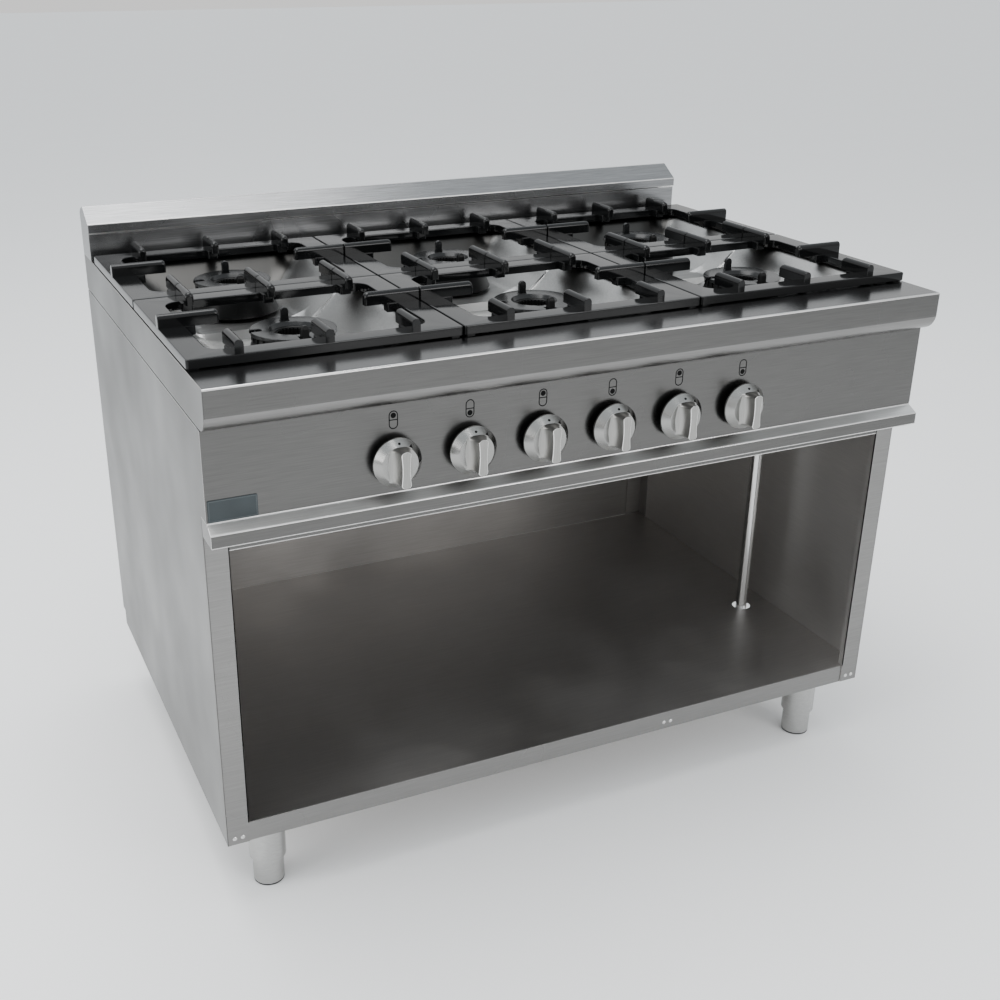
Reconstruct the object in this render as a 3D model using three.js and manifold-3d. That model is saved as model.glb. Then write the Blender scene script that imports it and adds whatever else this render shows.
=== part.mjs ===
// Six-burner commercial gas range on an open cabinet, in millimetres.
// Frame: +Z up, -Y is the front, +X is the right seen from the front. The origin is on the floor, under the
// middle of the whole object.

import * as THREE from "three";
import { mergeVertices } from "three/addons/utils/BufferGeometryUtils.js";
import Module from "manifold-3d";

// ---- driving dimensions --------------------------------------------------------------------------------

const WIDTH = 1200;
const SHEET = 1.5;
const GAP = 0.3;
const HALF = WIDTH / 2;

const LIP_Y = -411.5;
const PANEL_Y = -381.8;
const BUMPER_Y = -401;
const STILE_Y = -353.1;
const REAR_Y = 428.5;
const FLOOR_REAR_Y = 411.5;
const BACK_PANEL_Y = 399.5;

const CABINET_BOTTOM = 124.9;
const FLOOR_TOP = 158.9;
const REAR_STEP_Z = 154;
const RAIL_BOTTOM = 615.4;
const BUMPER_BOTTOM = 644.5;
const BUMPER_NOSE = 664.6;
const BUMPER_TOP = 674;
const SKIRT_BOTTOM = 807;
const WORKTOP_TOP = 871;

const SPLASH_FACE_Y = 357.5;
const SPLASH_HEM_Y = 354.5;
const SPLASH_HEM_BOTTOM = 920;
const SPLASH_HEM_TOP = 936;
const SPLASH_APEX = [394.5, 961];
const SPLASH_BACK = [415.5, 955];
const SPLASH_REAR_TOP = 946;

const STILE_WIDTH = 35;
const STILE_RETURN = 11;

const COLUMN_PITCH = 399.7;
const GRATE_WIDTH = 397.7;
const GRATE_FRONT = -329.9;
const GRATE_JOINT = 4.4;
const GRATE_REAR = 334;
const GRATE_SPACE = 1;
const GRATE_BOTTOM = 872.8;
const GRATE_TOP = 886.5;
const GRATE_SIDE_BAR = 38;
const GRATE_END_BAR = 33;
const GRATE_CORNER = 24;
const FINGER_TOP = 905.5;
const FINGER_WIDTH = 13;
const FINGER_LENGTH = 65;
const SIDE_FINGER_LENGTH = 88;
const FINGER_OFFSET = 126.6;
const ROOT_BLOCK = [18, 15];
const GRATE_PAD = 16;

const CAP_TOP = 864;
const CAP_BOTTOM = 858;
const CAP_RADIUS = 64.5;
const CAP_HOLE = 32;
const CAP_MOUTH = 37;
const FIN = { width: 12, thickness: 6, offset: 42, top: 885 };
const PILOT = { width: 12, depth: 10, offset: -54, top: 881, slot: 2 };

// Each column has one well from front to rear, with a lower floor under the front burner.
const WELL_RIM = { halfWidth: 165, front: -308, rear: 312 };
const WELL_FLOORS = {
  front: { halfWidth: 80, front: -236, rear: 55, z: 790 },
  rear: { halfWidth: 90.5, front: 99, rear: 239, z: 806 },
};
const WELL_HOLE = 44;

const KNOB_FIRST_X = -331;
const KNOB_PITCH = 116.2;
const KNOB_COUNT = 6;
const KNOB_Z = 724;
const KNOB_FRONT_Y = -428.5;
const STEM_RADIUS = 4;
const STEM_CLEARANCE = 0.4;
const MANIFOLD_Y = -318;
const MANIFOLD_RADIUS = 13.5;
const MANIFOLD_LEFT = -400;
const SUPPLY_X = 538.5;
const SUPPLY_Y = -80.5;
const SUPPLY_RADIUS = 10.7;
const SUPPLY_BEND = 38;
const FEED_RADIUS = 4;
const VENTURI_Z = 775;
const VENTURI_REACH = 110;

const LEG_X = 523.6;
const LEG_FRONT_Y = -294.1;
const LEG_REAR_Y = 352.5;
const LEG_RADIUS = 29.3;
const LEG_BORE = 25.3;
const LEG_LOW = 47;
const FOOT_RADIUS = 24.8;
const FOOT_TOP = 118;

const COLUMNS = [["left", -COLUMN_PITCH], ["middle", 0], ["right", COLUMN_PITCH]];
const ROWS = [["front", GRATE_FRONT, GRATE_JOINT], ["rear", GRATE_JOINT, GRATE_REAR]];

// ---- finishes ------------------------------------------------------------------------------------------

const steel = new THREE.MeshStandardMaterial({ color: 0xa5a7a2, roughness: 0.35, metalness: 1 });
const darkSteel = new THREE.MeshStandardMaterial({ color: 0x6d6c69, roughness: 0.4, metalness: 1 });
const enamel = new THREE.MeshStandardMaterial({ color: 0x1c1e1f, roughness: 0.2, metalness: 0 });
const castIron = new THREE.MeshStandardMaterial({ color: 0x26282a, roughness: 0.5, metalness: 0.3 });
const nickel = new THREE.MeshStandardMaterial({ color: 0xbebeb4, roughness: 0.3, metalness: 1 });
const brass = new THREE.MeshStandardMaterial({ color: 0xb08d4a, roughness: 0.35, metalness: 1 });
const blackPlate = new THREE.MeshStandardMaterial({ color: 0x1d2224, roughness: 0.4, metalness: 0 });

// ---- solids --------------------------------------------------------------------------------------------

const wasm = await Module();
wasm.setup();

function toSolid(geometry) {
  const bare = geometry.clone();
  bare.deleteAttribute("normal");
  bare.deleteAttribute("uv");
  const merged = mergeVertices(bare, 1e-4);
  const vertProperties = new Float32Array(merged.attributes.position.array);
  const triVerts = new Uint32Array(merged.index.array);
  return new wasm.Manifold(new wasm.Mesh({ numProp: 3, vertProperties, triVerts }));
}

function toGeometry(solid) {
  const mesh = solid.getMesh();
  const geometry = new THREE.BufferGeometry();
  geometry.setAttribute("position", new THREE.BufferAttribute(new Float32Array(mesh.vertProperties), 3));
  geometry.setIndex(new THREE.BufferAttribute(new Uint32Array(mesh.triVerts), 1));
  geometry.computeVertexNormals();
  return geometry;
}

function join(...geometries) {
  return toGeometry(geometries.map(toSolid).reduce((whole, piece) => whole.add(piece)));
}

function cut(base, ...tools) {
  return toGeometry(tools.map(toSolid).reduce((whole, tool) => whole.subtract(tool), toSolid(base)));
}

function box(x0, x1, y0, y1, z0, z1) {
  const geometry = new THREE.BoxGeometry(x1 - x0, y1 - y0, z1 - z0);
  return geometry.translate((x0 + x1) / 2, (y0 + y1) / 2, (z0 + z1) / 2);
}

function shapeOf(points) {
  return new THREE.Shape(points.map(([a, b]) => new THREE.Vector2(a, b)));
}

// A section drawn in Y and Z, run along X.
function alongX(section, x0, x1, curveSegments = 3) {
  const geometry = new THREE.ExtrudeGeometry(section, { depth: x1 - x0, bevelEnabled: false, curveSegments });
  const turn = new THREE.Matrix4().makeBasis(
    new THREE.Vector3(0, 1, 0), new THREE.Vector3(0, 0, 1), new THREE.Vector3(1, 0, 0));
  return geometry.applyMatrix4(turn).translate(x0, 0, 0);
}

// A section drawn in X and Z, run along Y.
function alongY(section, y0, y1, curveSegments = 3) {
  const geometry = new THREE.ExtrudeGeometry(section, { depth: y1 - y0, bevelEnabled: false, curveSegments });
  return geometry.rotateX(Math.PI / 2).translate(0, y1, 0);
}

// A section drawn in X and Y, run up Z.
function alongZ(section, z0, z1, curveSegments = 3) {
  const geometry = new THREE.ExtrudeGeometry(section, { depth: z1 - z0, bevelEnabled: false, curveSegments });
  return geometry.translate(0, 0, z0);
}

// A profile of [radius, height] points turned about Z at (x, y).
function turnedZ(profile, x, y, segments = 24) {
  const points = profile.map(([r, z]) => new THREE.Vector2(r, z));
  return new THREE.LatheGeometry(points, segments).rotateX(Math.PI / 2).translate(x, y, 0);
}

// A profile of [radius, y] points turned about an axis along Y at (x, z), listed from the front backwards.
function turnedY(profile, x, z, segments = 24) {
  const points = profile.map(([r, y]) => new THREE.Vector2(r, y));
  return new THREE.LatheGeometry(points, segments).translate(x, 0, z);
}

// A round tube along a curve; a full circle takes twice its curve segments in sides.
function tube(curve, radius, steps, sides) {
  const section = new THREE.Shape();
  section.absarc(0, 0, radius, 0, 2 * Math.PI);
  const options = { extrudePath: curve, steps, bevelEnabled: false, curveSegments: sides / 2 };
  return new THREE.ExtrudeGeometry(section, options);
}

function roundedRectangle(x0, x1, y0, y1, r) {
  const shape = new THREE.Path();
  shape.moveTo(x0 + r, y0);
  shape.lineTo(x1 - r, y0);
  shape.absarc(x1 - r, y0 + r, r, -Math.PI / 2, 0);
  shape.lineTo(x1, y1 - r);
  shape.absarc(x1 - r, y1 - r, r, 0, Math.PI / 2);
  shape.lineTo(x0 + r, y1);
  shape.absarc(x0 + r, y1 - r, r, Math.PI / 2, Math.PI);
  shape.lineTo(x0, y0 + r);
  shape.absarc(x0 + r, y0 + r, r, Math.PI, 1.5 * Math.PI);
  return shape;
}

const range = new THREE.Group();

function add(name, geometry, material) {
  const mesh = new THREE.Mesh(geometry, material);
  mesh.name = name;
  range.add(mesh);
}

// ---- worktop: folded sheet with a bull-nosed front lip, side skirts and three pressed wells -------------

const NOSE_RADIUS = 28;
const NOSE_TOP = SKIRT_BOTTOM + 1 + NOSE_RADIUS;
const LIP_RETURN_Y = LIP_Y + NOSE_RADIUS;

// The folded sheet's outer section, or with an inset the hollow behind it, which is open underneath.
function worktopSection(inset, bottom) {
  const r = NOSE_RADIUS - inset;
  const shape = new THREE.Shape();
  shape.moveTo(REAR_Y - inset, bottom);
  shape.lineTo(REAR_Y - inset, WORKTOP_TOP - inset);
  shape.lineTo(LIP_Y + inset, WORKTOP_TOP - inset);
  shape.lineTo(LIP_Y + inset, NOSE_TOP);
  shape.absarc(LIP_RETURN_Y, NOSE_TOP, r, Math.PI, 1.5 * Math.PI);
  shape.lineTo(LIP_RETURN_Y + inset, NOSE_TOP - r);
  shape.lineTo(LIP_RETURN_Y + inset, bottom);
  return shape;
}

// Four-sided basin at column x, narrowing from the well's rim down to one of its floors.
function basin(x, floor, grow, top) {
  const { halfWidth, front, rear } = WELL_RIM;
  const corners = [[-1, -1], [1, -1], [1, 1], [-1, 1]];
  const rim = corners.map(([i, j]) => [x + i * (halfWidth + grow), j < 0 ? front - grow : rear + grow, top]);
  const low = corners.map(([i, j]) => [
    x + i * (floor.halfWidth + grow), j < 0 ? floor.front - grow : floor.rear + grow, floor.z - grow]);
  const geometry = new THREE.BufferGeometry();
  geometry.setAttribute("position", new THREE.BufferAttribute(new Float32Array([...low, ...rim].flat()), 3));
  const sides = [0, 1, 2, 3].flatMap((k) => {
    const next = (k + 1) % 4;
    return [k, next, next + 4, k, next + 4, k + 4];
  });
  geometry.setIndex([0, 2, 1, 0, 3, 2, 4, 5, 6, 4, 6, 7, ...sides]);
  return geometry;
}

function worktop() {
  const sheet = cut(
    alongX(worktopSection(0, SKIRT_BOTTOM), -HALF, HALF, 4),
    alongX(worktopSection(SHEET, SKIRT_BOTTOM - 1), -HALF + SHEET, HALF - SHEET, 4),
  );
  const basins = [];
  const hollows = [];
  for (const [, x] of COLUMNS) {
    for (const [row, front, rear] of ROWS) {
      const floor = WELL_FLOORS[row];
      const y = (front + rear) / 2;
      basins.push(basin(x, floor, SHEET, WORKTOP_TOP - GAP));
      hollows.push(basin(x, floor, 0, WORKTOP_TOP + GAP));
      hollows.push(turnedZ([[0, floor.z - 5], [WELL_HOLE, floor.z - 5], [WELL_HOLE, floor.z + 5],
        [0, floor.z + 5]], x, y, 20));
    }
  }
  return cut(join(sheet, ...basins), ...hollows);
}

add("worktop", worktop(), steel);

// ---- splashback: hollow folded upstand, open underneath ------------------------------------------------

function splashSection(inset, bottom) {
  return shapeOf([
    [SPLASH_FACE_Y + inset, bottom],
    [REAR_Y - inset, bottom],
    [REAR_Y - inset, SPLASH_REAR_TOP - inset / 2],
    [SPLASH_BACK[0] - inset / 4, SPLASH_BACK[1] - inset],
    [SPLASH_APEX[0], SPLASH_APEX[1] - inset],
    [SPLASH_HEM_Y + inset, SPLASH_HEM_TOP - inset / 2],
    [SPLASH_HEM_Y + inset, SPLASH_HEM_BOTTOM + inset],
    [SPLASH_FACE_Y + inset, SPLASH_HEM_BOTTOM + inset],
  ]);
}

add("splashback", cut(
  alongX(splashSection(0, WORKTOP_TOP + GAP), -HALF, HALF),
  alongX(splashSection(SHEET, WORKTOP_TOP - 1), -HALF + SHEET, HALF - SHEET),
), steel);

// ---- cabinet: side panels with folded stiles, back, floor tray, cross rail, rear brackets ---------------

function sidePanel(side) {
  const outline = shapeOf([
    [STILE_Y, CABINET_BOTTOM],
    [FLOOR_REAR_Y, CABINET_BOTTOM],
    [FLOOR_REAR_Y, REAR_STEP_Z],
    [REAR_Y, REAR_STEP_Z],
    [REAR_Y, SKIRT_BOTTOM - GAP],
    [PANEL_Y + SHEET + GAP, SKIRT_BOTTOM - GAP],
    [PANEL_Y + SHEET + GAP, BUMPER_TOP],
    [STILE_Y, BUMPER_TOP],
  ]);
  const stileTop = BUMPER_TOP - GAP;
  const [x0, x1] = side < 0 ? [-HALF, -HALF + SHEET] : [HALF - SHEET, HALF];
  const stile = side < 0 ? [-HALF, -HALF + STILE_WIDTH] : [HALF - STILE_WIDTH, HALF];
  const fold = side < 0
    ? [-HALF + STILE_WIDTH - SHEET, -HALF + STILE_WIDTH]
    : [HALF - STILE_WIDTH, HALF - STILE_WIDTH + SHEET];
  return join(
    alongX(outline, x0, x1),
    box(...stile, STILE_Y, STILE_Y + SHEET, CABINET_BOTTOM, stileTop),
    box(...fold, STILE_Y, STILE_Y + STILE_RETURN, FLOOR_TOP + GAP, stileTop),
  );
}

add("side_panel_left", sidePanel(-1), steel);
add("side_panel_right", sidePanel(1), steel);

const INNER_HALF = HALF - SHEET - GAP;
const BACK_TOP = WORKTOP_TOP - SHEET - GAP;
const BACK_FLANGE = 24;

add("back_panel", join(
  box(-INNER_HALF, INNER_HALF, BACK_PANEL_Y, BACK_PANEL_Y + SHEET, FLOOR_TOP + GAP, BACK_TOP),
  box(-INNER_HALF, -INNER_HALF + SHEET, BACK_PANEL_Y, BACK_PANEL_Y + BACK_FLANGE, FLOOR_TOP + GAP, BACK_TOP),
  box(INNER_HALF - SHEET, INNER_HALF, BACK_PANEL_Y, BACK_PANEL_Y + BACK_FLANGE, FLOOR_TOP + GAP, BACK_TOP),
), steel);

const TRAY_FRONT = STILE_Y + SHEET + GAP;
const TRAY_REAR = FLOOR_REAR_Y;
const PIPE_HOLE = 17.5;

add("cabinet_floor", cut(
  box(-INNER_HALF, INNER_HALF, TRAY_FRONT, TRAY_REAR, CABINET_BOTTOM, FLOOR_TOP),
  box(-INNER_HALF + SHEET, INNER_HALF - SHEET, TRAY_FRONT + SHEET, TRAY_REAR - SHEET,
    CABINET_BOTTOM - 1, FLOOR_TOP - SHEET),
  turnedZ([[0, FLOOR_TOP - 5], [PIPE_HOLE, FLOOR_TOP - 5], [PIPE_HOLE, FLOOR_TOP + 5], [0, FLOOR_TOP + 5]],
    SUPPLY_X, SUPPLY_Y, 20),
), steel);

const RAIL_HALF = HALF - STILE_WIDTH - GAP;
const RAIL_RETURN = 13;

add("front_cross_rail", join(
  box(-RAIL_HALF, RAIL_HALF, STILE_Y, STILE_Y + SHEET, RAIL_BOTTOM, BUMPER_TOP),
  box(-RAIL_HALF, RAIL_HALF, STILE_Y, STILE_Y + RAIL_RETURN, RAIL_BOTTOM, RAIL_BOTTOM + SHEET),
), steel);

const BRACKET = { reach: 37, depth: 30, top: 760 };
const BRACKET_REAR = BACK_PANEL_Y - GAP;

for (const [name, side] of [["left", -1], ["right", 1]]) {
  const across = [side * INNER_HALF, side * (INNER_HALF - BRACKET.reach)].sort((a, b) => a - b);
  const wall = [side * INNER_HALF, side * (INNER_HALF - SHEET)].sort((a, b) => a - b);
  add(`rear_bracket_${name}`, join(
    box(...across, BRACKET_REAR - SHEET, BRACKET_REAR, FLOOR_TOP + GAP, BRACKET.top),
    box(...wall, BRACKET_REAR - BRACKET.depth, BRACKET_REAR, FLOOR_TOP + GAP, BRACKET.top),
  ), steel);
}

// ---- control panel: one sheet folded out into the bumper rail, with closed ends ------------------------

const BUMPER_REAR = STILE_Y - GAP;
const KNOB_HOLE = 8;

function bumperSection(inset) {
  return shapeOf([
    [PANEL_Y + SHEET, BUMPER_TOP - inset],
    [PANEL_Y + inset / 2, BUMPER_TOP - inset],
    [BUMPER_Y + inset, BUMPER_NOSE - inset / 2],
    [BUMPER_Y + inset, BUMPER_BOTTOM + inset],
    [BUMPER_REAR + (inset ? 1 : 0), BUMPER_BOTTOM + inset],
    [BUMPER_REAR + (inset ? 1 : 0), BUMPER_TOP - inset],
  ]);
}

function knobX(index) {
  return KNOB_FIRST_X + KNOB_PITCH * index;
}

function controlPanel() {
  const panel = box(-HALF, HALF, PANEL_Y, PANEL_Y + SHEET, BUMPER_TOP - 1, SKIRT_BOTTOM - GAP);
  const bumper = cut(
    alongX(bumperSection(0), -HALF, HALF),
    alongX(bumperSection(SHEET), -HALF + SHEET, HALF - SHEET),
    box(-HALF + SHEET, HALF - SHEET, PANEL_Y + SHEET, BUMPER_REAR + 1, BUMPER_TOP - 2 * SHEET,
      BUMPER_TOP + 1),
  );
  const holes = [];
  for (let k = 0; k < KNOB_COUNT; k += 1) {
    holes.push(turnedY([[0, PANEL_Y - 2], [KNOB_HOLE, PANEL_Y - 2], [KNOB_HOLE, PANEL_Y + 4], [0,
      PANEL_Y + 4]],
      knobX(k), KNOB_Z, 16));
  }
  return cut(join(panel, bumper), ...holes);
}

add("control_panel", controlPanel(), steel);

const BADGE = { x0: -597.5, x1: -528.5, z0: 675.5, z1: 707.5, thickness: 0.8 };
add("badge_plate", box(BADGE.x0, BADGE.x1, PANEL_Y - GAP - BADGE.thickness, PANEL_Y - GAP,
  BADGE.z0, BADGE.z1), blackPlate);

// ---- gas train: inlet, supply pipe, manifold, taps with their feed tubes --------------------------------

function pipeX(x0, x1, y, z, radius, sides) {
  return new THREE.CylinderGeometry(radius, radius, x1 - x0, sides)
    .rotateZ(Math.PI / 2).translate((x0 + x1) / 2, y, z);
}

const ELBOW = { half: 19, reach: 24 };
const MANIFOLD_RIGHT = SUPPLY_X - ELBOW.half - GAP;

add("gas_manifold", pipeX(MANIFOLD_LEFT, MANIFOLD_RIGHT, MANIFOLD_Y, KNOB_Z, MANIFOLD_RADIUS, 20), steel);
add("manifold_elbow", box(SUPPLY_X - ELBOW.half, SUPPLY_X + ELBOW.half, MANIFOLD_Y - ELBOW.half,
  MANIFOLD_Y + ELBOW.reach, KNOB_Z - ELBOW.half, KNOB_Z + ELBOW.half), brass);

const INLET = { bottom: 82, top: 116, radius: 16 };

function supplyPipe() {
  const bendStart = new THREE.Vector3(SUPPLY_X, SUPPLY_Y, KNOB_Z - SUPPLY_BEND);
  const bendEnd = new THREE.Vector3(SUPPLY_X, SUPPLY_Y - SUPPLY_BEND, KNOB_Z);
  const pipeFoot = new THREE.Vector3(SUPPLY_X, SUPPLY_Y, INLET.top + GAP);
  const pipeEnd = new THREE.Vector3(SUPPLY_X, MANIFOLD_Y + ELBOW.reach + GAP, KNOB_Z);
  const corner = new THREE.Vector3(SUPPLY_X, SUPPLY_Y, KNOB_Z);
  const lap = 0.5;
  const rise = new THREE.LineCurve3(pipeFoot, bendStart.clone().setZ(bendStart.z + lap));
  const forward = new THREE.LineCurve3(bendEnd.clone().setY(bendEnd.y + lap), pipeEnd);
  const bend = new THREE.QuadraticBezierCurve3(bendStart, corner, bendEnd);
  return join(
    tube(rise, SUPPLY_RADIUS, 1, 14),
    tube(bend, SUPPLY_RADIUS, 6, 14),
    tube(forward, SUPPLY_RADIUS, 1, 14),
  );
}

add("supply_pipe", supplyPipe(), steel);
add("gas_inlet", turnedZ([[0, INLET.bottom], [INLET.radius, INLET.bottom], [INLET.radius, INLET.top],
  [0, INLET.top]], SUPPLY_X, SUPPLY_Y, 6), brass);

const TAP = { half: 13, front: -370, rear: MANIFOLD_Y - MANIFOLD_RADIUS - GAP, low: -15, high: 22 };
const TAP_BOSS = { radius: 11, front: -376 };
const STEM = { rear: -357, front: -401 };
const PUSH_TRAVEL = 4;
const TAP_BORE_END = STEM.rear + PUSH_TRAVEL + 2;

function burnerY(row) {
  const [, front, rear] = ROWS[row];
  return (front + rear) / 2;
}

// Each tap feeds one burner: odd taps the rear row, even taps the front row, two taps to a column.
function feedTube(index) {
  const start = knobX(index);
  const [, end] = COLUMNS[Math.floor(index / 2)];
  const row = index % 2 === 0 ? 1 : 0;
  const mouth = burnerY(row) - VENTURI_REACH;
  const tapTop = KNOB_Z + TAP.high;
  const tapMiddle = (TAP.front + TAP.rear) / 2;
  const run = row === 1
    ? [[start, -325, tapTop + 9], [start, -240, tapTop + 9], [end, mouth - 80, tapTop + 9],
      [end, mouth - 34, VENTURI_Z - 5]]
    : [[start, tapMiddle + 10, VENTURI_Z - 12], [(start + end) / 2, mouth - 34, VENTURI_Z - 1],
      [end, mouth - 22, VENTURI_Z]];
  const points = [[start, tapMiddle, tapTop - 6], [start, tapMiddle, tapTop + 2], ...run,
    [end, mouth - 6, VENTURI_Z]];
  const path = new THREE.CatmullRomCurve3(points.map((p) => new THREE.Vector3(...p)), false, "centripetal");
  return tube(path, FEED_RADIUS, 16, 6);
}

function tap(index) {
  const x = knobX(index);
  const body = box(x - TAP.half, x + TAP.half, TAP.front, TAP.rear, KNOB_Z + TAP.low, KNOB_Z + TAP.high);
  const boss = turnedY([[0, TAP_BOSS.front], [TAP_BOSS.radius, TAP_BOSS.front], [TAP_BOSS.radius,
    TAP.front + 1],
    [0, TAP.front + 1]], x, KNOB_Z, 16);
  const r = STEM_RADIUS + STEM_CLEARANCE;
  const bore = turnedY([[0, TAP_BOSS.front - 1], [r, TAP_BOSS.front - 1], [r, TAP_BORE_END], [0,
    TAP_BORE_END]],
    x, KNOB_Z, 16);
  return cut(join(body, boss, feedTube(index)), bore);
}

function stem(index) {
  return turnedY([[0, STEM.front], [STEM_RADIUS, STEM.front], [STEM_RADIUS, STEM.rear], [0, STEM.rear]],
    knobX(index), KNOB_Z, 14);
}

// ---- knobs: bevelled skirt with an hourglass grip -------------------------------------------------------

const KNOB = { hub: 20, hubRear: -387.3, rimRear: -392.5, rimFront: -395.5, rim: 36.3, face: 27,
  faceY: -406.5 };
const GRIP = { half: 26.6, end: 8, waist: 5.8 };

function knob(index) {
  const x = knobX(index);
  const dial = turnedY([
    [0, KNOB.faceY], [KNOB.face, KNOB.faceY], [KNOB.rim, KNOB.rimFront], [KNOB.rim, KNOB.rimRear],
    [KNOB.hub, KNOB.rimRear], [KNOB.hub, KNOB.hubRear], [0, KNOB.hubRear],
  ], x, KNOB_Z, 24);
  const outline = new THREE.Shape();
  outline.moveTo(x - GRIP.end, KNOB_Z - GRIP.half + 2);
  outline.quadraticCurveTo(x, KNOB_Z - GRIP.half - 2, x + GRIP.end, KNOB_Z - GRIP.half + 2);
  outline.quadraticCurveTo(x + 2 * GRIP.waist - GRIP.end, KNOB_Z, x + GRIP.end, KNOB_Z + GRIP.half - 2);
  outline.quadraticCurveTo(x, KNOB_Z + GRIP.half + 2, x - GRIP.end, KNOB_Z + GRIP.half - 2);
  outline.quadraticCurveTo(x - 2 * GRIP.waist + GRIP.end, KNOB_Z, x - GRIP.end, KNOB_Z - GRIP.half + 2);
  const grip = alongY(outline, KNOB_FRONT_Y, KNOB.faceY + 1, 4);
  const r = STEM_RADIUS + STEM_CLEARANCE;
  const bore = turnedY([[0, STEM.front - GAP], [r, STEM.front - GAP], [r, KNOB.hubRear + 1],
    [0, KNOB.hubRear + 1]], x, KNOB_Z, 14);
  return cut(join(dial, grip), bore);
}

for (let k = 0; k < KNOB_COUNT; k += 1) {
  add(`gas_tap_${k + 1}`, tap(k), brass);
  add(`tap_stem_${k + 1}`, stem(k), nickel);
  add(`knob_${k + 1}`, knob(k), nickel);
}

// ---- burners and grates --------------------------------------------------------------------------------

const CROWN = { top: CAP_BOTTOM - GAP, upper: 60, lower: 76, hole: 27, neck: 38, seat: 52, lift: 6 };
const NECK_BOTTOM = 761;
const VENTURI = { tube: 10, wall: 2.5, mouth: 13, mouthLength: 12 };

// Conical ported crown over a seat that rests on the well's floor, with its mixing tube under the floor.
function burnerBody(x, y, floor) {
  const seatBottom = floor + GAP;
  const skirtBottom = floor + CROWN.lift;
  const casting = turnedZ([
    [0, NECK_BOTTOM], [CROWN.neck, NECK_BOTTOM], [CROWN.neck, seatBottom], [CROWN.seat, seatBottom],
    [CROWN.seat, skirtBottom], [CROWN.lower, skirtBottom], [CROWN.upper, CROWN.top], [CROWN.hole, CROWN.top],
    [CROWN.hole, CROWN.top - 22], [0, CROWN.top - 22],
  ], x, y, 24);
  const mouthY = y - VENTURI_REACH;
  const mixer = turnedY([
    [0, mouthY], [VENTURI.mouth, mouthY], [VENTURI.mouth, mouthY + VENTURI.mouthLength],
    [VENTURI.tube, mouthY + VENTURI.mouthLength + 8], [VENTURI.tube, y - CROWN.neck + 4],
    [0, y - CROWN.neck + 4],
  ], x, VENTURI_Z, 14);
  const bore = VENTURI.tube - VENTURI.wall;
  const throat = turnedY([[0, mouthY - 1], [bore, mouthY - 1], [bore, y - CROWN.neck], [0, y - CROWN.neck]],
    x, VENTURI_Z, 12);
  const pilotY = y + PILOT.offset;
  const pilot = box(x - PILOT.width / 2, x + PILOT.width / 2, pilotY - PILOT.depth / 2,
    pilotY + PILOT.depth / 2, CROWN.top - 4, PILOT.top);
  return cut(join(casting, mixer, pilot), throat);
}

function burnerCap(x, y) {
  const ring = turnedZ([
    [CAP_HOLE, CAP_BOTTOM], [CAP_RADIUS - 2, CAP_BOTTOM], [CAP_RADIUS, CAP_BOTTOM + 2],
    [CAP_RADIUS, CAP_TOP - 1.5], [CAP_RADIUS - 2, CAP_TOP], [CAP_MOUTH, CAP_TOP], [CAP_HOLE, CAP_BOTTOM],
  ], x, y, 24);
  const fin = box(x - FIN.width / 2, x + FIN.width / 2, y + FIN.offset - FIN.thickness / 2,
    y + FIN.offset + FIN.thickness / 2, CAP_BOTTOM + 1, FIN.top);
  const slotHalf = PILOT.width / 2 + PILOT.slot;
  const slot = box(x - slotHalf, x + slotHalf, y - CAP_RADIUS - 1,
    y + PILOT.offset + PILOT.depth / 2 + PILOT.slot, CAP_BOTTOM - 1, CAP_TOP + 1);
  return cut(join(ring, fin), slot);
}

function fingerSection(x) {
  const r = FINGER_WIDTH / 2;
  const shape = new THREE.Shape();
  shape.moveTo(x - r, GRATE_TOP - 1);
  shape.lineTo(x + r, GRATE_TOP - 1);
  shape.lineTo(x + r, FINGER_TOP - r);
  shape.absarc(x, FINGER_TOP - r, r, 0, Math.PI);
  return shape;
}

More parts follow.
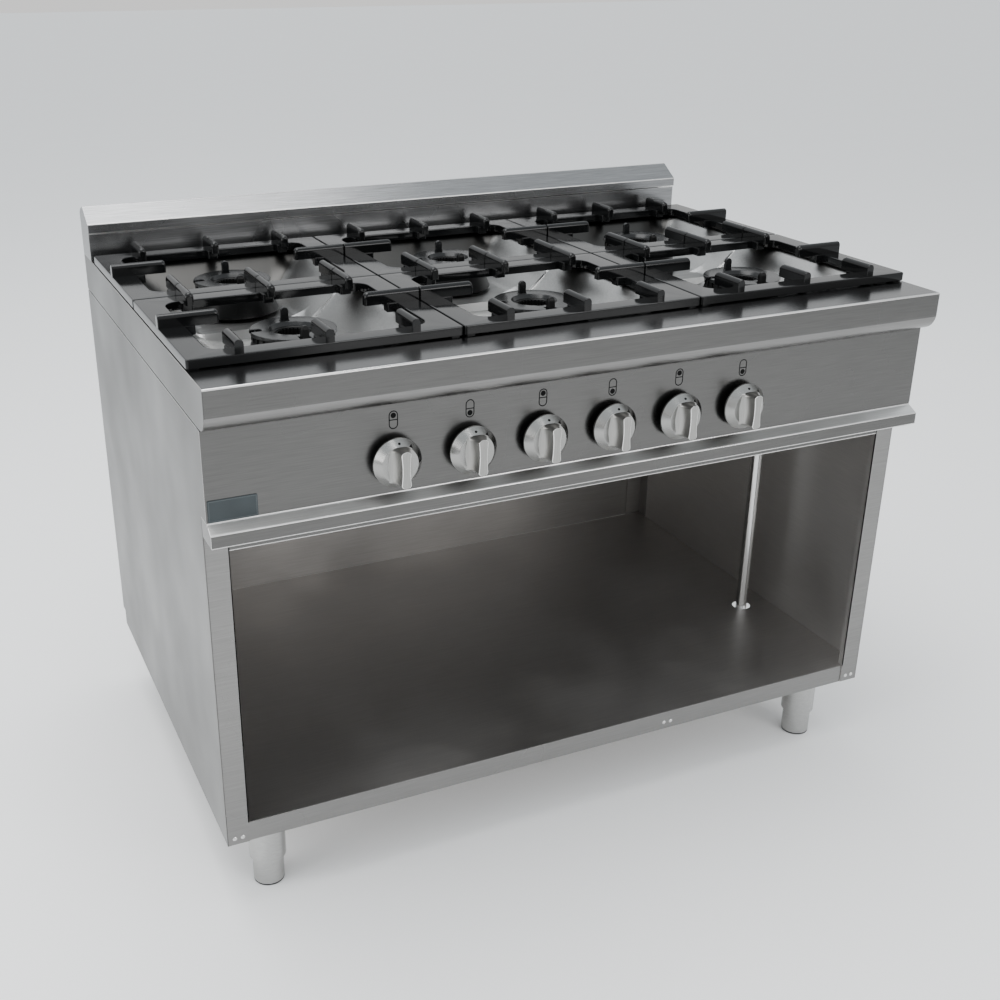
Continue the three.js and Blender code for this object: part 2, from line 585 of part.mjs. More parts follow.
function grate(x, front, rear) {
  const y0 = front === GRATE_JOINT ? front + GRATE_SPACE : front;
  const y1 = rear === GRATE_JOINT ? rear - GRATE_SPACE : rear;
  const x0 = x - GRATE_WIDTH / 2;
  const x1 = x + GRATE_WIDTH / 2;
  const outline = shapeOf([[x0, y0], [x1, y0], [x1, y1], [x0, y1]]);
  outline.holes.push(roundedRectangle(x0 + GRATE_SIDE_BAR, x1 - GRATE_SIDE_BAR, y0 + GRATE_END_BAR,
    y1 - GRATE_END_BAR, GRATE_CORNER));
  const pieces = [alongZ(outline, GRATE_BOTTOM, GRATE_TOP, 2)];
  const [blockWidth, blockDepth] = ROOT_BLOCK;
  for (const dx of [-FINGER_OFFSET, 0, FINGER_OFFSET]) {
    const middle = x + dx;
    const block = [middle - blockWidth / 2, middle + blockWidth / 2];
    pieces.push(alongY(fingerSection(middle), y0, y0 + FINGER_LENGTH));
    pieces.push(alongY(fingerSection(middle), y1 - FINGER_LENGTH, y1));
    pieces.push(box(...block, y0 + 1, y0 + GRATE_END_BAR + blockDepth, GRATE_BOTTOM, GRATE_TOP));
    pieces.push(box(...block, y1 - GRATE_END_BAR - blockDepth, y1 - 1, GRATE_BOTTOM, GRATE_TOP));
  }
  const y = (y0 + y1) / 2;
  for (const [a, b, c, d] of [
    [x0, x0 + SIDE_FINGER_LENGTH, x0 + 1, x0 + GRATE_SIDE_BAR + blockDepth],
    [x1 - SIDE_FINGER_LENGTH, x1, x1 - GRATE_SIDE_BAR - blockDepth, x1 - 1],
  ]) {
    pieces.push(alongX(fingerSection(y), a, b));
    pieces.push(box(c, d, y - blockWidth / 2, y + blockWidth / 2, GRATE_BOTTOM, GRATE_TOP));
  }
  for (const padX of [x0 + 3, x1 - 3 - GRATE_PAD]) {
    for (const padY of [y0 + 3, y1 - 3 - GRATE_PAD]) {
      pieces.push(box(padX, padX + GRATE_PAD, padY, padY + GRATE_PAD, WORKTOP_TOP + GAP, GRATE_BOTTOM + 1));
    }
  }
  return join(...pieces);
}

for (const [row, front, rear] of ROWS) {
  for (const [column, x] of COLUMNS) {
    const y = (front + rear) / 2;
    add(`burner_${row}_${column}`, burnerBody(x, y, WELL_FLOORS[row].z), castIron);
    add(`burner_cap_${row}_${column}`, burnerCap(x, y), enamel);
    add(`grate_${row}_${column}`, grate(x, front, rear), enamel);
  }
}

// ---- legs: fixed outer tube, threaded foot inside it ----------------------------------------------------

const LEG_FLANGE = { radius: 45, thickness: 3 };
const LEG_TOP = FLOOR_TOP - SHEET - GAP;

function legTube(x, y) {
  const under = LEG_TOP - LEG_FLANGE.thickness;
  return turnedZ([
    [0, under], [LEG_BORE, under], [LEG_BORE, LEG_LOW], [LEG_RADIUS - 2, LEG_LOW], [LEG_RADIUS, LEG_LOW + 3],
    [LEG_RADIUS, under], [LEG_FLANGE.radius, under], [LEG_FLANGE.radius, LEG_TOP], [0, LEG_TOP],
  ], x, y, 20);
}

function foot(x, y) {
  return turnedZ([
    [0, 0], [FOOT_RADIUS - 1, 0], [FOOT_RADIUS, 1.5], [FOOT_RADIUS, FOOT_TOP], [0, FOOT_TOP],
  ], x, y, 20);
}

for (const [row, y] of [["front", LEG_FRONT_Y], ["rear", LEG_REAR_Y]]) {
  for (const [column, x] of [["left", -LEG_X], ["right", LEG_X]]) {
    add(`leg_tube_${row}_${column}`, legTube(x, y), steel);
    add(`leg_foot_${row}_${column}`, foot(x, y), darkSteel);
  }
}

export default range;
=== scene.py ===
"""Looks of a six-burner commercial gas range on an open cabinet.

Lengths are in millimetres until a mesh is made.
"""

import math

import bmesh
import bpy
from mathutils import Matrix, Vector


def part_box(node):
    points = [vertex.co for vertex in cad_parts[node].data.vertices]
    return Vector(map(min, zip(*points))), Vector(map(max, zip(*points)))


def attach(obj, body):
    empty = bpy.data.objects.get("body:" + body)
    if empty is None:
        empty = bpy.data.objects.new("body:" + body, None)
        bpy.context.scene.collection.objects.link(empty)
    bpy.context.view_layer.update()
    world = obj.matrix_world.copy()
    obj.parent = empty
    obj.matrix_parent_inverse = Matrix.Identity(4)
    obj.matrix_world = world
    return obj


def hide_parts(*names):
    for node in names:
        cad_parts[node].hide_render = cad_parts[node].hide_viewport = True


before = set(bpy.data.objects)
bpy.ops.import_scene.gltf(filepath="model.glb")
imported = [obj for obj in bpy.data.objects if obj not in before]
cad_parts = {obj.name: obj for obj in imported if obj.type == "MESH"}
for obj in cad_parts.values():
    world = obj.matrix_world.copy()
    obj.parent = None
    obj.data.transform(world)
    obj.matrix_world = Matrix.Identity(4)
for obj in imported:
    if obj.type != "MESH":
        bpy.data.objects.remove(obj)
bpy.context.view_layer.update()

MM = 0.001
HALF = 600.0
SHEET = 1.5

LIP_Y = -411.5
NOSE_R = 28.0
NOSE_BOTTOM = 808.0
SKIRT_BOTTOM = 807.0
WORKTOP_Z = 871.0
REAR_Y = 428.5
PANEL_Y = -381.8
PANEL_TOP = 806.7
BUMPER_Y = -401.0
BUMPER_BOTTOM = 644.5
BUMPER_NOSE = 664.6
BUMPER_TOP = 674.0
BUMPER_REAR = -353.4
STILE_Y = -353.1
STILE_WIDTH = 35.0
STILE_RETURN = 11.0
CABINET_BOTTOM = 124.9
FLOOR_TOP = 158.9
FLOOR_REAR = 411.5
REAR_STEP_Z = 154.0
RAIL_BOTTOM = 615.4
BACK_Y = 399.5
INNER_HALF = 598.2
TRAY_FRONT = -351.3

COLUMNS = {"left": -399.7, "middle": 0.0, "right": 399.7}
ROWS = {"front": (-329.9, 4.4), "rear": (4.4, 334.0)}
GRATE_WIDTH = 397.7
GRATE_BOTTOM = 872.8
GRATE_TOP = 886.5
SIDE_BAR = 38.0
END_BAR = 33.0
GRATE_CORNER = 24.0
FINGER_TOP = 905.5
FINGER_R = 6.5
FINGER_LENGTH = 65.0
SIDE_FINGER_LENGTH = 88.0
FINGER_OFFSET = 126.6

WELL_HALF = 165.0
WELL_FRONT = -308.0
WELL_REAR = 312.0
SLOPE_FADE = 10.0
FRONT_FLOOR = {"half": 80.0, "front": -236.0, "rear": 55.0, "z": 790.0}
REAR_FLOOR = {"half": 90.5, "front": 99.0, "rear": 239.0, "z": 806.0}

CAP_TOP = 864.0
CAP_BOTTOM = 858.0
CAP_R = 64.5
CAP_MOUTH = 37.0
CAP_HOLE = 32.0
PILOT_Y = -54.0
FIN_Y = 42.0

KNOB_X = [-331.0 + 116.2 * k for k in range(6)]
KNOB_Z = 724.0
LEG_X = 523.6
LEG_Y = {"front": -294.1, "rear": 352.5}
PIPE_X = 538.5
PIPE_Y = -80.5
PIPE_R = 10.7
PIPE_HOLE_R = 17.5
PIPE_BEND_R = 38.0

SHEET_LOW = 159.2
BACK_TOP = 869.2
BRACKET_TOP = 760.0
BRACKET_WIDTH = 37.0
BRACKET_DEPTH = 30.0
BRACKET_Y = 399.2
RAIL_HALF = 564.7
SIDE_TOP = 806.0
SIDE_FRONT = -380.0
STILE_TOP = 673.7
PANEL_BOTTOM = 678.0
PANEL_FOLD_Z = 803.0
TOP_BEND = 2.5
BEND_FACE = 1.3

BADGE_X = (-597.5, -528.5)
BADGE_Z = (675.5, 707.5)
BADGE_Y = -382.8
DIAGRAM_Z = 782.5

LEG_PLATE_R = 45.0
LEG_PLATE_LOW = 154.1
LEG_PLATE_TOP = 157.1
SLEEVE_R = 29.3
SLEEVE_BORE = 25.3
SLEEVE_LOW = 47.0
FOOT_R = 24.8
FOOT_TOP = 118.0
PAD_TOP = 3.0

CASTING_LOW = 761.0
CASTING_TOP = 857.7
VENTURI_Z = 775.0
CASTING_SLOTS = 28
ELECTRODE_X = -56.0
ELECTRODE_Y = 8.0


# ---- outlines --------------------------------------------------------------------------------------------

def arc(cx, cy, r, start, end, steps):
    """Points on a circle from one angle to another, in degrees."""
    angles = [math.radians(start + (end - start) * i / steps) for i in range(steps + 1)]
    return [(cx + r * math.cos(a), cy + r * math.sin(a)) for a in angles]


def rounded_rectangle(x0, x1, y0, y1, r, steps=8):
    return (arc(x1 - r, y0 + r, r, -90, 0, steps) + arc(x1 - r, y1 - r, r, 0, 90, steps)
            + arc(x0 + r, y1 - r, r, 90, 180, steps) + arc(x0 + r, y0 + r, r, 180, 270, steps))


def rectangle(x0, x1, y0, y1):
    return [(x0, y0), (x1, y0), (x1, y1), (x0, y1)]


def circle(cx, cy, r, steps):
    return arc(cx, cy, r, 0, 360 - 360 / steps, steps - 1)


def inset(outline, distance):
    """A closed anticlockwise outline moved inwards, or outwards when the distance is negative."""
    moved = []
    for i, point in enumerate(outline):
        before = Vector(point) - Vector(outline[i - 1])
        after = Vector(outline[(i + 1) % len(outline)]) - Vector(point)
        n0 = Vector((-before.y, before.x)).normalized()
        n1 = Vector((-after.y, after.x)).normalized()
        bisector = n0 + n1
        reach = distance * 2 / max(bisector.length_squared, 0.6)
        moved.append((point[0] + bisector.x * reach, point[1] + bisector.y * reach))
    return moved


# ---- solids ----------------------------------------------------------------------------------------------

def placed(axis, point, level):
    """A point of a flat outline at a level along an axis. X takes (y, z), Y takes (x, z), Z takes (x, y)."""
    u, v = point
    if axis == "X":
        return (level, u, v)
    if axis == "Y":
        return (u, level, v)
    return (u, v, level)


def bridge(bm, first, second):
    count = len(first)
    for i in range(count):
        j = (i + 1) % count
        bm.faces.new((first[i], first[j], second[j], second[i]))


def loft(bm, axis, rings):
    """Skin over loops of equal length, each given as (outline, level)."""
    loops = [[bm.verts.new(placed(axis, p, level)) for p in outline] for outline, level in rings]
    for first, second in zip(loops, loops[1:]):
        bridge(bm, first, second)
    bm.faces.new(loops[0])
    bm.faces.new(loops[-1])


def prism(bm, axis, outline, low, high, holes=(), edge=0.0):
    """Straight solid over an outline, with its end edges rounded off by the edge width."""
    levels = [(0.0, low), (0.0, high)]
    if edge:
        levels = [(edge, low), (edge * 0.3, low + edge * 0.3), (0.0, low + edge),
                  (0.0, high - edge), (edge * 0.3, high - edge * 0.3), (edge, high)]
    ends = ([], [])
    for loop, sign in [(outline, 1.0)] + [(hole, -1.0) for hole in holes]:
        rings = [[bm.verts.new(placed(axis, p, level)) for p in (inset(loop, sign * d) if d else loop)]
                 for d, level in levels]
        for first, second in zip(rings, rings[1:]):
            bridge(bm, first, second)
        for end, ring in zip(ends, (rings[0], rings[-1])):
            end.append(ring)
    for end in ends:
        if holes:
            edges = [bm.edges.get((ring[i - 1], ring[i])) for ring in end for i in range(len(ring))]
            bmesh.ops.triangle_fill(bm, edges=edges, use_beauty=True)
        else:
            bm.faces.new(end[0])


def box(bm, x0, x1, y0, y1, z0, z1, edge=0.4):
    prism(bm, "Z", rectangle(x0, x1, y0, y1), z0, z1, edge=edge)


def lathe(bm, axis, centre, profile, steps=64):
    """Solid of revolution about Y or Z. The profile is (radius, level) and starts and ends on the axis."""
    cu, cv = centre
    rings = []
    for r, level in profile:
        if r < 1e-6:
            rings.append([bm.verts.new(placed(axis, (cu, cv), level))])
        else:
            rings.append([bm.verts.new(placed(axis, p, level)) for p in circle(cu, cv, r, steps)])
    for first, second in zip(rings, rings[1:]):
        if len(first) == 1 and len(second) == 1:
            continue
        if len(first) == 1 or len(second) == 1:
            hub, rim = (first[0], second) if len(first) == 1 else (second[0], first)
            for i in range(steps):
                bm.faces.new((hub, rim[i], rim[(i + 1) % steps]))
        else:
            bridge(bm, first, second)


def folded(bm, path, x0, x1, thickness=SHEET, radius=2.0):
    """Sheet folded along a path of (y, z) points and running along X, with a bend radius at each fold."""
    line = [Vector(path[0])]
    for a, b, c in zip(path, path[1:], path[2:]):
        a, b, c = Vector(a), Vector(b), Vector(c)
        start = b + (a - b).normalized() * radius
        end = b + (c - b).normalized() * radius
        for i in range(6):
            t = i / 5
            line.append(start * (1 - t) ** 2 + b * 2 * t * (1 - t) + end * t * t)
    line.append(Vector(path[-1]))
    inner = []
    for i, p in enumerate(line):
        before = (p - line[i - 1]) if i else (line[1] - p)
        after = (line[i + 1] - p) if i + 1 < len(line) else (p - line[i - 1])
        direction = (before.normalized() + after.normalized()).normalized()
        inner.append(p + Vector((-direction.y, direction.x)) * thickness)
    outline = [tuple(p) for p in line] + [tuple(p) for p in reversed(inner)]
    prism(bm, "X", outline, x0, x1)


def tube(bm, path, radius, steps=32):
    """Round bar along a smooth list of points in space."""
    points = [Vector(p) for p in path]
    rings = []
    side = Vector((1, 0, 0))
    for i, p in enumerate(points):
        direction = (points[min(i + 1, len(points) - 1)] - points[max(i - 1, 0)]).normalized()
        side = (side - direction * side.dot(direction)).normalized()
        up = direction.cross(side)
        angles = [2 * math.pi * k / steps for k in range(steps)]
        rings.append([bm.verts.new(p + (side * math.cos(a) + up * math.sin(a)) * radius) for a in angles])
    for first, second in zip(rings, rings[1:]):
        bridge(bm, first, second)
    bm.faces.new(rings[0])
    bm.faces.new(rings[-1])


def piece(name, bm, material, body="cabinet", nodes=(), sharp=32.0, bend_highlight=None):
    """Makes the object with its finish, body and nodes.

    A bend highlight finish, when given, goes on the narrow faces of folds as a painted highlight along each
    bend.
    """
    bmesh.ops.recalc_face_normals(bm, faces=bm.faces)
    bmesh.ops.scale(bm, vec=(MM, MM, MM), verts=bm.verts)
    mesh = bpy.data.meshes.new(name)
    bm.to_mesh(mesh)
    bm.free()
    mesh.polygons.foreach_set("use_smooth", [True] * len(mesh.polygons))
    mesh.set_sharp_from_angle(angle=math.radians(sharp))
    mesh.materials.append(material)
    # The narrow tilted faces get the second finish, a painted highlight.
    if bend_highlight:
        mesh.materials.append(bend_highlight)
        for face in mesh.polygons:
            tilted = max(abs(c) for c in face.normal) < 0.995
            length = max((mesh.vertices[a].co - mesh.vertices[b].co).length for a, b in face.edge_keys)
            if tilted and face.area / length < BEND_FACE * MM:
                face.material_index = 1
    made = bpy.data.objects.new(name, mesh)
    bpy.context.scene.collection.objects.link(made)
    weighted = made.modifiers.new("weighted", "WEIGHTED_NORMAL")
    weighted.keep_sharp = True
    evaluated = made.evaluated_get(bpy.context.evaluated_depsgraph_get())
    made.data = bpy.data.meshes.new_from_object(evaluated)
    made.data.name = name
    made.modifiers.clear()
    if nodes:
        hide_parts(*nodes)
    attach(made, body)
    return made


# ---- finishes --------------------------------------------------------------------------------------------

def shader(name, color, metallic, roughness):
    material = bpy.data.materials.new(name)
    material.use_nodes = True
    principled = material.node_tree.nodes["Principled BSDF"]
    principled.inputs["Base Color"].default_value = (*color, 1)
    principled.inputs["Metallic"].default_value = metallic
    principled.inputs["Roughness"].default_value = roughness
    return material, material.node_tree, principled


def noise_layer(tree, stretch, scale, detail=3.0):
    """Noise in the object's own frame, stretched by its scale along each axis."""
    where = tree.nodes.new("ShaderNodeTexCoord")
    mapping = tree.nodes.new("ShaderNodeMapping")
    mapping.inputs["Scale"].default_value = stretch
    noise = tree.nodes.new("ShaderNodeTexNoise")
    noise.inputs["Scale"].default_value = scale
    noise.inputs["Detail"].default_value = detail
    tree.links.new(where.outputs["Object"], mapping.inputs["Vector"])
    tree.links.new(mapping.outputs["Vector"], noise.inputs["Vector"])
    return noise.outputs["Fac"]


def spread(tree, value, low, high):
    ranged = tree.nodes.new("ShaderNodeMapRange")
    ranged.inputs["From Min"].default_value = 0.3
    ranged.inputs["From Max"].default_value = 0.7
    ranged.inputs["To Min"].default_value = low
    ranged.inputs["To Max"].default_value = high
    tree.links.new(value, ranged.inputs["Value"])
    return ranged.outputs["Result"]


def tint(tree, principled, value, dark, light):
    mix = tree.nodes.new("ShaderNodeMix")
    mix.data_type = "RGBA"
    mix.inputs["A"].default_value = (*dark, 1)
    mix.inputs["B"].default_value = (*light, 1)
    tree.links.new(value, mix.inputs["Factor"])
    tree.links.new(mix.outputs["Result"], principled.inputs["Base Color"])


def bump(tree, principled, value, strength, distance):
    node = tree.nodes.new("ShaderNodeBump")
    node.inputs["Strength"].default_value = strength
    node.inputs["Distance"].default_value = distance
    tree.links.new(value, node.inputs["Height"])
    tree.links.new(node.outputs["Normal"], principled.inputs["Normal"])


def brushed(name, color, stretch, roughness, depth=0.00004, contrast=0.08, scale=18.0):
    """Sheet metal with its brush lines along the axis of the smallest stretch."""
    material, tree, principled = shader(name, color, 1.0, roughness)
    grain = noise_layer(tree, stretch, scale)
    cloud = noise_layer(tree, (1, 1, 1), 5.0, 2.0)
    tree.links.new(spread(tree, cloud, roughness * 0.85, roughness * 1.2), principled.inputs["Roughness"])
    dark = tuple(c * (1 - contrast) for c in color)
    light = tuple(min(1.0, c * (1 + contrast)) for c in color)
    tint(tree, principled, spread(tree, grain, 0.0, 1.0), dark, light)
    bump(tree, principled, grain, 0.35, depth)
    return material


ALONG_X = (1, 40, 40)
ALONG_Y = (40, 1, 40)
ALONG_Z = (40, 40, 1)

front_steel = brushed("front_steel", (0.115, 0.113, 0.11), ALONG_X, 0.27)
# Light steel for the narrow faces of bends: a painted highlight along the folds.
bend_highlight_steel = brushed("bend_highlight_steel", (0.62, 0.61, 0.60), ALONG_X, 0.3)
top_steel = brushed("top_steel", (0.12, 0.122, 0.124), ALONG_X, 0.2, depth=0.00006)
# The wells' steel is a lighter copy of the worktop steel: a painted highlight for the light the wells catch.
well_highlight_steel = brushed("well_highlight_steel", (0.36, 0.36, 0.355), ALONG_X, 0.34, depth=0.0001, contrast=0.2)
# Lighter steel on the lower round of the worktop's nose: a painted highlight.
nose_highlight_steel = brushed("nose_highlight_steel", (0.20, 0.197, 0.193), ALONG_X, 0.3)
# Light steel on the upward slope between panel and bumper: a painted highlight.
ledge_highlight_steel = brushed("ledge_highlight_steel", (0.6, 0.593, 0.58), ALONG_X, 0.34)
side_steel = brushed("side_steel", (0.135, 0.135, 0.132), ALONG_Y, 0.36, depth=0.00002, contrast=0.03)
splash_steel = brushed("splash_steel", (0.23, 0.232, 0.235), ALONG_X, 0.25, depth=0.00006, contrast=0.2)
# The cabinet's inner sheets are lighter than the outer steel: painted fill light for the shaded interior.
inner_steel = brushed("inner_steel", (0.30, 0.29, 0.28), ALONG_X, 0.5, contrast=0.06)
inner_side_lit_steel = brushed("inner_side_lit_steel", (0.6, 0.585, 0.57), ALONG_Y, 0.45, contrast=0.04)
tray_lit_steel = brushed("tray_lit_steel", (0.54, 0.523, 0.508), ALONG_X, 0.42, contrast=0.05)
flange_steel = brushed("flange_steel", (0.21, 0.207, 0.202), ALONG_X, 0.3)
leg_steel = brushed("leg_steel", (0.42, 0.418, 0.41), (6, 6, 40), 0.24)
pipe_steel = brushed("pipe_steel", (0.55, 0.55, 0.545), ALONG_Z, 0.2)
rivet_steel = brushed("rivet_steel", (0.6, 0.6, 0.59), (10, 10, 10), 0.25)


def faded(tree, value, zero_at, one_at):
    ranged = tree.nodes.new("ShaderNodeMapRange")
    ranged.inputs["From Min"].default_value = zero_at
    ranged.inputs["From Max"].default_value = one_at
    tree.links.new(value, ranged.inputs["Value"])
    return ranged.outputs["Result"]


def product(tree, first, second):
    node = tree.nodes.new("ShaderNodeMath")
    node.operation = "MULTIPLY"
    tree.links.new(first, node.inputs[0])
    tree.links.new(second, node.inputs[1])
    return node.outputs["Value"]


def paint_slope_light(material, zones):
    """Paints light and shade, as base colour, on the slopes that face the front. Each zone is (front end,
    rear end, colour).
    """
    tree = material.node_tree
    principled = tree.nodes["Principled BSDF"]
    where = tree.nodes.new("ShaderNodeTexCoord")
    position = tree.nodes.new("ShaderNodeSeparateXYZ")
    facing = tree.nodes.new("ShaderNodeSeparateXYZ")
    tree.links.new(where.outputs["Object"], position.inputs["Vector"])
    tree.links.new(where.outputs["Normal"], facing.inputs["Vector"])
    steep = faded(tree, facing.outputs["Y"], -0.12, -0.35)
    for start, end, color in zones:
        behind_start = faded(tree, position.outputs["Y"], start * MM, (start + SLOPE_FADE) * MM)
        before_end = faded(tree, position.outputs["Y"], (end + SLOPE_FADE) * MM, end * MM)
        mix = tree.nodes.new("ShaderNodeMix")
        mix.data_type = "RGBA"
        mix.inputs["B"].default_value = (*color, 1)
        below = principled.inputs["Base Color"].links[0].from_socket
        tree.links.new(below, mix.inputs["A"])
        tree.links.new(product(tree, steep, product(tree, behind_start, before_end)), mix.inputs["Factor"])
        tree.links.new(mix.outputs["Result"], principled.inputs["Base Color"])


# Painted highlight on the step up from the front floor, painted shade on the rear well's rear slope.
paint_slope_light(well_highlight_steel, [
    (FRONT_FLOOR["rear"] - SLOPE_FADE, REAR_FLOOR["front"], (0.8, 0.8, 0.79)),
    (REAR_FLOOR["rear"] - SLOPE_FADE, WELL_REAR, (0.05, 0.049, 0.047)),
])


def mottled(name, color, metallic, roughness, specular=0.5, depth=0.00003, scale=220.0, variation=0.12):
    """Cast, enamelled or painted finish with a fine uneven surface."""
    material, tree, principled = shader(name, color, metallic, roughness)
    principled.inputs["Specular IOR Level"].default_value = specular
    grain = noise_layer(tree, (1, 1, 1), scale, 4.0)
    cloud = noise_layer(tree, (1, 1, 1), 14.0, 2.0)
    tree.links.new(spread(tree, cloud, roughness * 0.8, roughness * 1.25), principled.inputs["Roughness"])
    dark = tuple(c * (1 - variation) for c in color)
    light = tuple(c * (1 + variation) for c in color)
    tint(tree, principled, spread(tree, cloud, 0.0, 1.0), dark, light)
    bump(tree, principled, grain, 0.2, depth)
    return material


enamel = mottled("enamel", (0.004, 0.0042, 0.0044), 0.0, 0.1, specular=0.28, depth=0.00001)
cap_enamel = mottled("cap_enamel", (0.006, 0.0064, 0.0067), 0.0, 0.2, specular=0.3)
casting = mottled("casting", (0.004, 0.004, 0.004), 0.0, 0.35, specular=0.15, depth=0.0001, scale=300.0)
nickel = mottled("nickel", (0.29, 0.289, 0.28), 1.0, 0.24, depth=0.00001, variation=0.03)
grip_nickel = brushed("grip_nickel", (0.31, 0.307, 0.295), ALONG_Z, 0.34, depth=0.00003, scale=40.0)
# Bright nickel on the grips' narrow front edges: a painted highlight.
nickel_edge_highlight = mottled("nickel_edge_highlight", (0.85, 0.85, 0.83), 1.0, 0.25)
stem_steel = mottled("stem_steel", (0.5, 0.5, 0.5), 1.0, 0.3)
brass = mottled("brass", (0.62, 0.45, 0.20), 1.0, 0.32, depth=0.00004)
badge_black = mottled("badge_black", (0.034, 0.043, 0.047), 0.0, 0.45, specular=0.3, scale=60.0,
                      variation=0.3)
badge_rim = mottled("badge_rim", (0.06, 0.072, 0.076), 0.0, 0.4, specular=0.3)
print_black = mottled("print_black", (0.002, 0.002, 0.002), 0.0, 0.6, specular=0.1)
rubber = mottled("rubber", (0.015, 0.015, 0.015), 0.0, 0.7)


# ---- camera, floor and light -----------------------------------------------------------------------------

camera_data = bpy.data.cameras.new("camera")
camera_data.lens = 45.88
camera_data.sensor_width = 36
camera_data.shift_x = 0.0606
camera = bpy.data.objects.new("camera", camera_data)
camera.location = (-0.9427, -1.9115, 1.3779)
camera.rotation_euler = (math.radians(66.516), 0, math.radians(-23.992))
bpy.context.scene.collection.objects.link(camera)
bpy.context.scene.camera = camera


def studio_floor():
    bm = bmesh.new()
    box(bm, -30000, 30000, -30000, 30000, -60, 0, edge=0)
    bmesh.ops.scale(bm, vec=(MM, MM, MM), verts=bm.verts)
    bmesh.ops.recalc_face_normals(bm, faces=bm.faces)
    mesh = bpy.data.meshes.new("studio_floor")
    bm.to_mesh(mesh)
    bm.free()
    material, tree, principled = shader("studio_white", (0.9, 0.9, 0.9), 0.0, 0.8)
    tint(tree, principled, noise_layer(tree, (1, 1, 1), 2.0), (0.89, 0.89, 0.89), (0.91, 0.91, 0.91))
    mesh.materials.append(material)
    floor = bpy.data.objects.new("studio_floor", mesh)
    bpy.context.scene.collection.objects.link(floor)


def studio_world():
    """Soft light from all round, brighter and cooler overhead."""
    world = bpy.data.worlds.new("studio")
    world.use_nodes = True
    bpy.context.scene.world = world
    tree = world.node_tree
    background = tree.nodes["Background"]
    where = tree.nodes.new("ShaderNodeTexCoord")
    split = tree.nodes.new("ShaderNodeSeparateXYZ")
    ramp = tree.nodes.new("ShaderNodeValToRGB")
    ramp.color_ramp.elements[0].position = 0.0
    ramp.color_ramp.elements[0].color = (0.95, 0.94, 0.93, 1)
    ramp.color_ramp.elements[1].position = 0.8
    ramp.color_ramp.elements[1].color = (1.15, 1.22, 1.27, 1)
    tree.links.new(where.outputs["Generated"], split.inputs["Vector"])
    tree.links.new(split.outputs["Z"], ramp.inputs["Fac"])
    tree.links.new(ramp.outputs["Color"], background.inputs["Color"])
    background.inputs["Strength"].default_value = 1.0


def area_light(name, location, target, size, power):
    data = bpy.data.lights.new(name, "AREA")
    data.shape = "RECTANGLE"
    data.size, data.size_y = size
    data.energy = power
    light = bpy.data.objects.new(name, data)
    light.location = location
    light.rotation_euler = (Vector(target) - Vector(location)).to_track_quat("-Z", "Y").to_euler()
    bpy.context.scene.collection.objects.link(light)


studio_floor()
studio_world()
area_light("overhead", (-0.6, 0.3, 4.2), (0, 0, 0.6), (3.2, 2.4), 160)
area_light("left_softbox", (-4.0, -0.6, 2.0), (0, 0, 0.6), (2.4, 2.2), 90)
area_light("front_softbox", (1.8, -4.2, 2.4), (0.2, 0, 0.4), (2.0, 1.6), 60)


# ---- worktop ---------------------------------------------------------------------------------------------

def smooth_max(a, b, k):
    h = max(k - abs(a - b), 0.0) / k
    return max(a, b) + h * h * k / 4


def well_depth(dx, y, floor, rear_reach):
    """Height of one pressed well at a point, rising from its floor to the worktop."""
    across = (abs(dx) - floor["half"]) / (WELL_HALF - floor["half"])
    forward = (floor["front"] - y) / (floor["front"] - WELL_FRONT)
    back = (y - floor["rear"]) / rear_reach
    t = smooth_max(across, max(forward, back), 0.42)
    rise = smooth_max(t, 0.0, 0.10) - 0.002
    return floor["z"] + (WORKTOP_Z - floor["z"]) * max(rise, 0.0)


def worktop_height(x, y):
    column = min(COLUMNS.values(), key=lambda c: abs(c - x))
    dx = x - column
    step = (WORKTOP_Z - FRONT_FLOOR["z"]) * (REAR_FLOOR["front"] - FRONT_FLOOR["rear"]) / (
        REAR_FLOOR["z"] - FRONT_FLOOR["z"])
    front = well_depth(dx, y, FRONT_FLOOR, step)
    rear = well_depth(dx, y, dict(REAR_FLOOR, front=WELL_FRONT + 1), WELL_REAR - REAR_FLOOR["rear"])
    low = front
    if y >= REAR_FLOOR["front"]:
        low = rear
    elif y > FRONT_FLOOR["rear"]:
        low = max(front, rear)
    return -smooth_max(-low, -WORKTOP_Z, 7.0)


def lines(low, high, marks, coarse, fine=1.6, reach=11.0):
    """Grid positions with close spacing near each mark."""
    values = {round(low, 2), round(high, 2)}
    steps = int((high - low) / coarse)
    for i in range(steps):
        values.add(round(low + (high - low) * i / steps, 2))
    for mark in marks:
        k = -reach
        while k <= reach:
            if low < mark + k < high:
                values.add(round(mark + k, 2))
            k += fine
    result = []
    for value in sorted(values):
        if not result or value - result[-1] > 0.6 or value == round(high, 2):
            result.append(value)
    return result


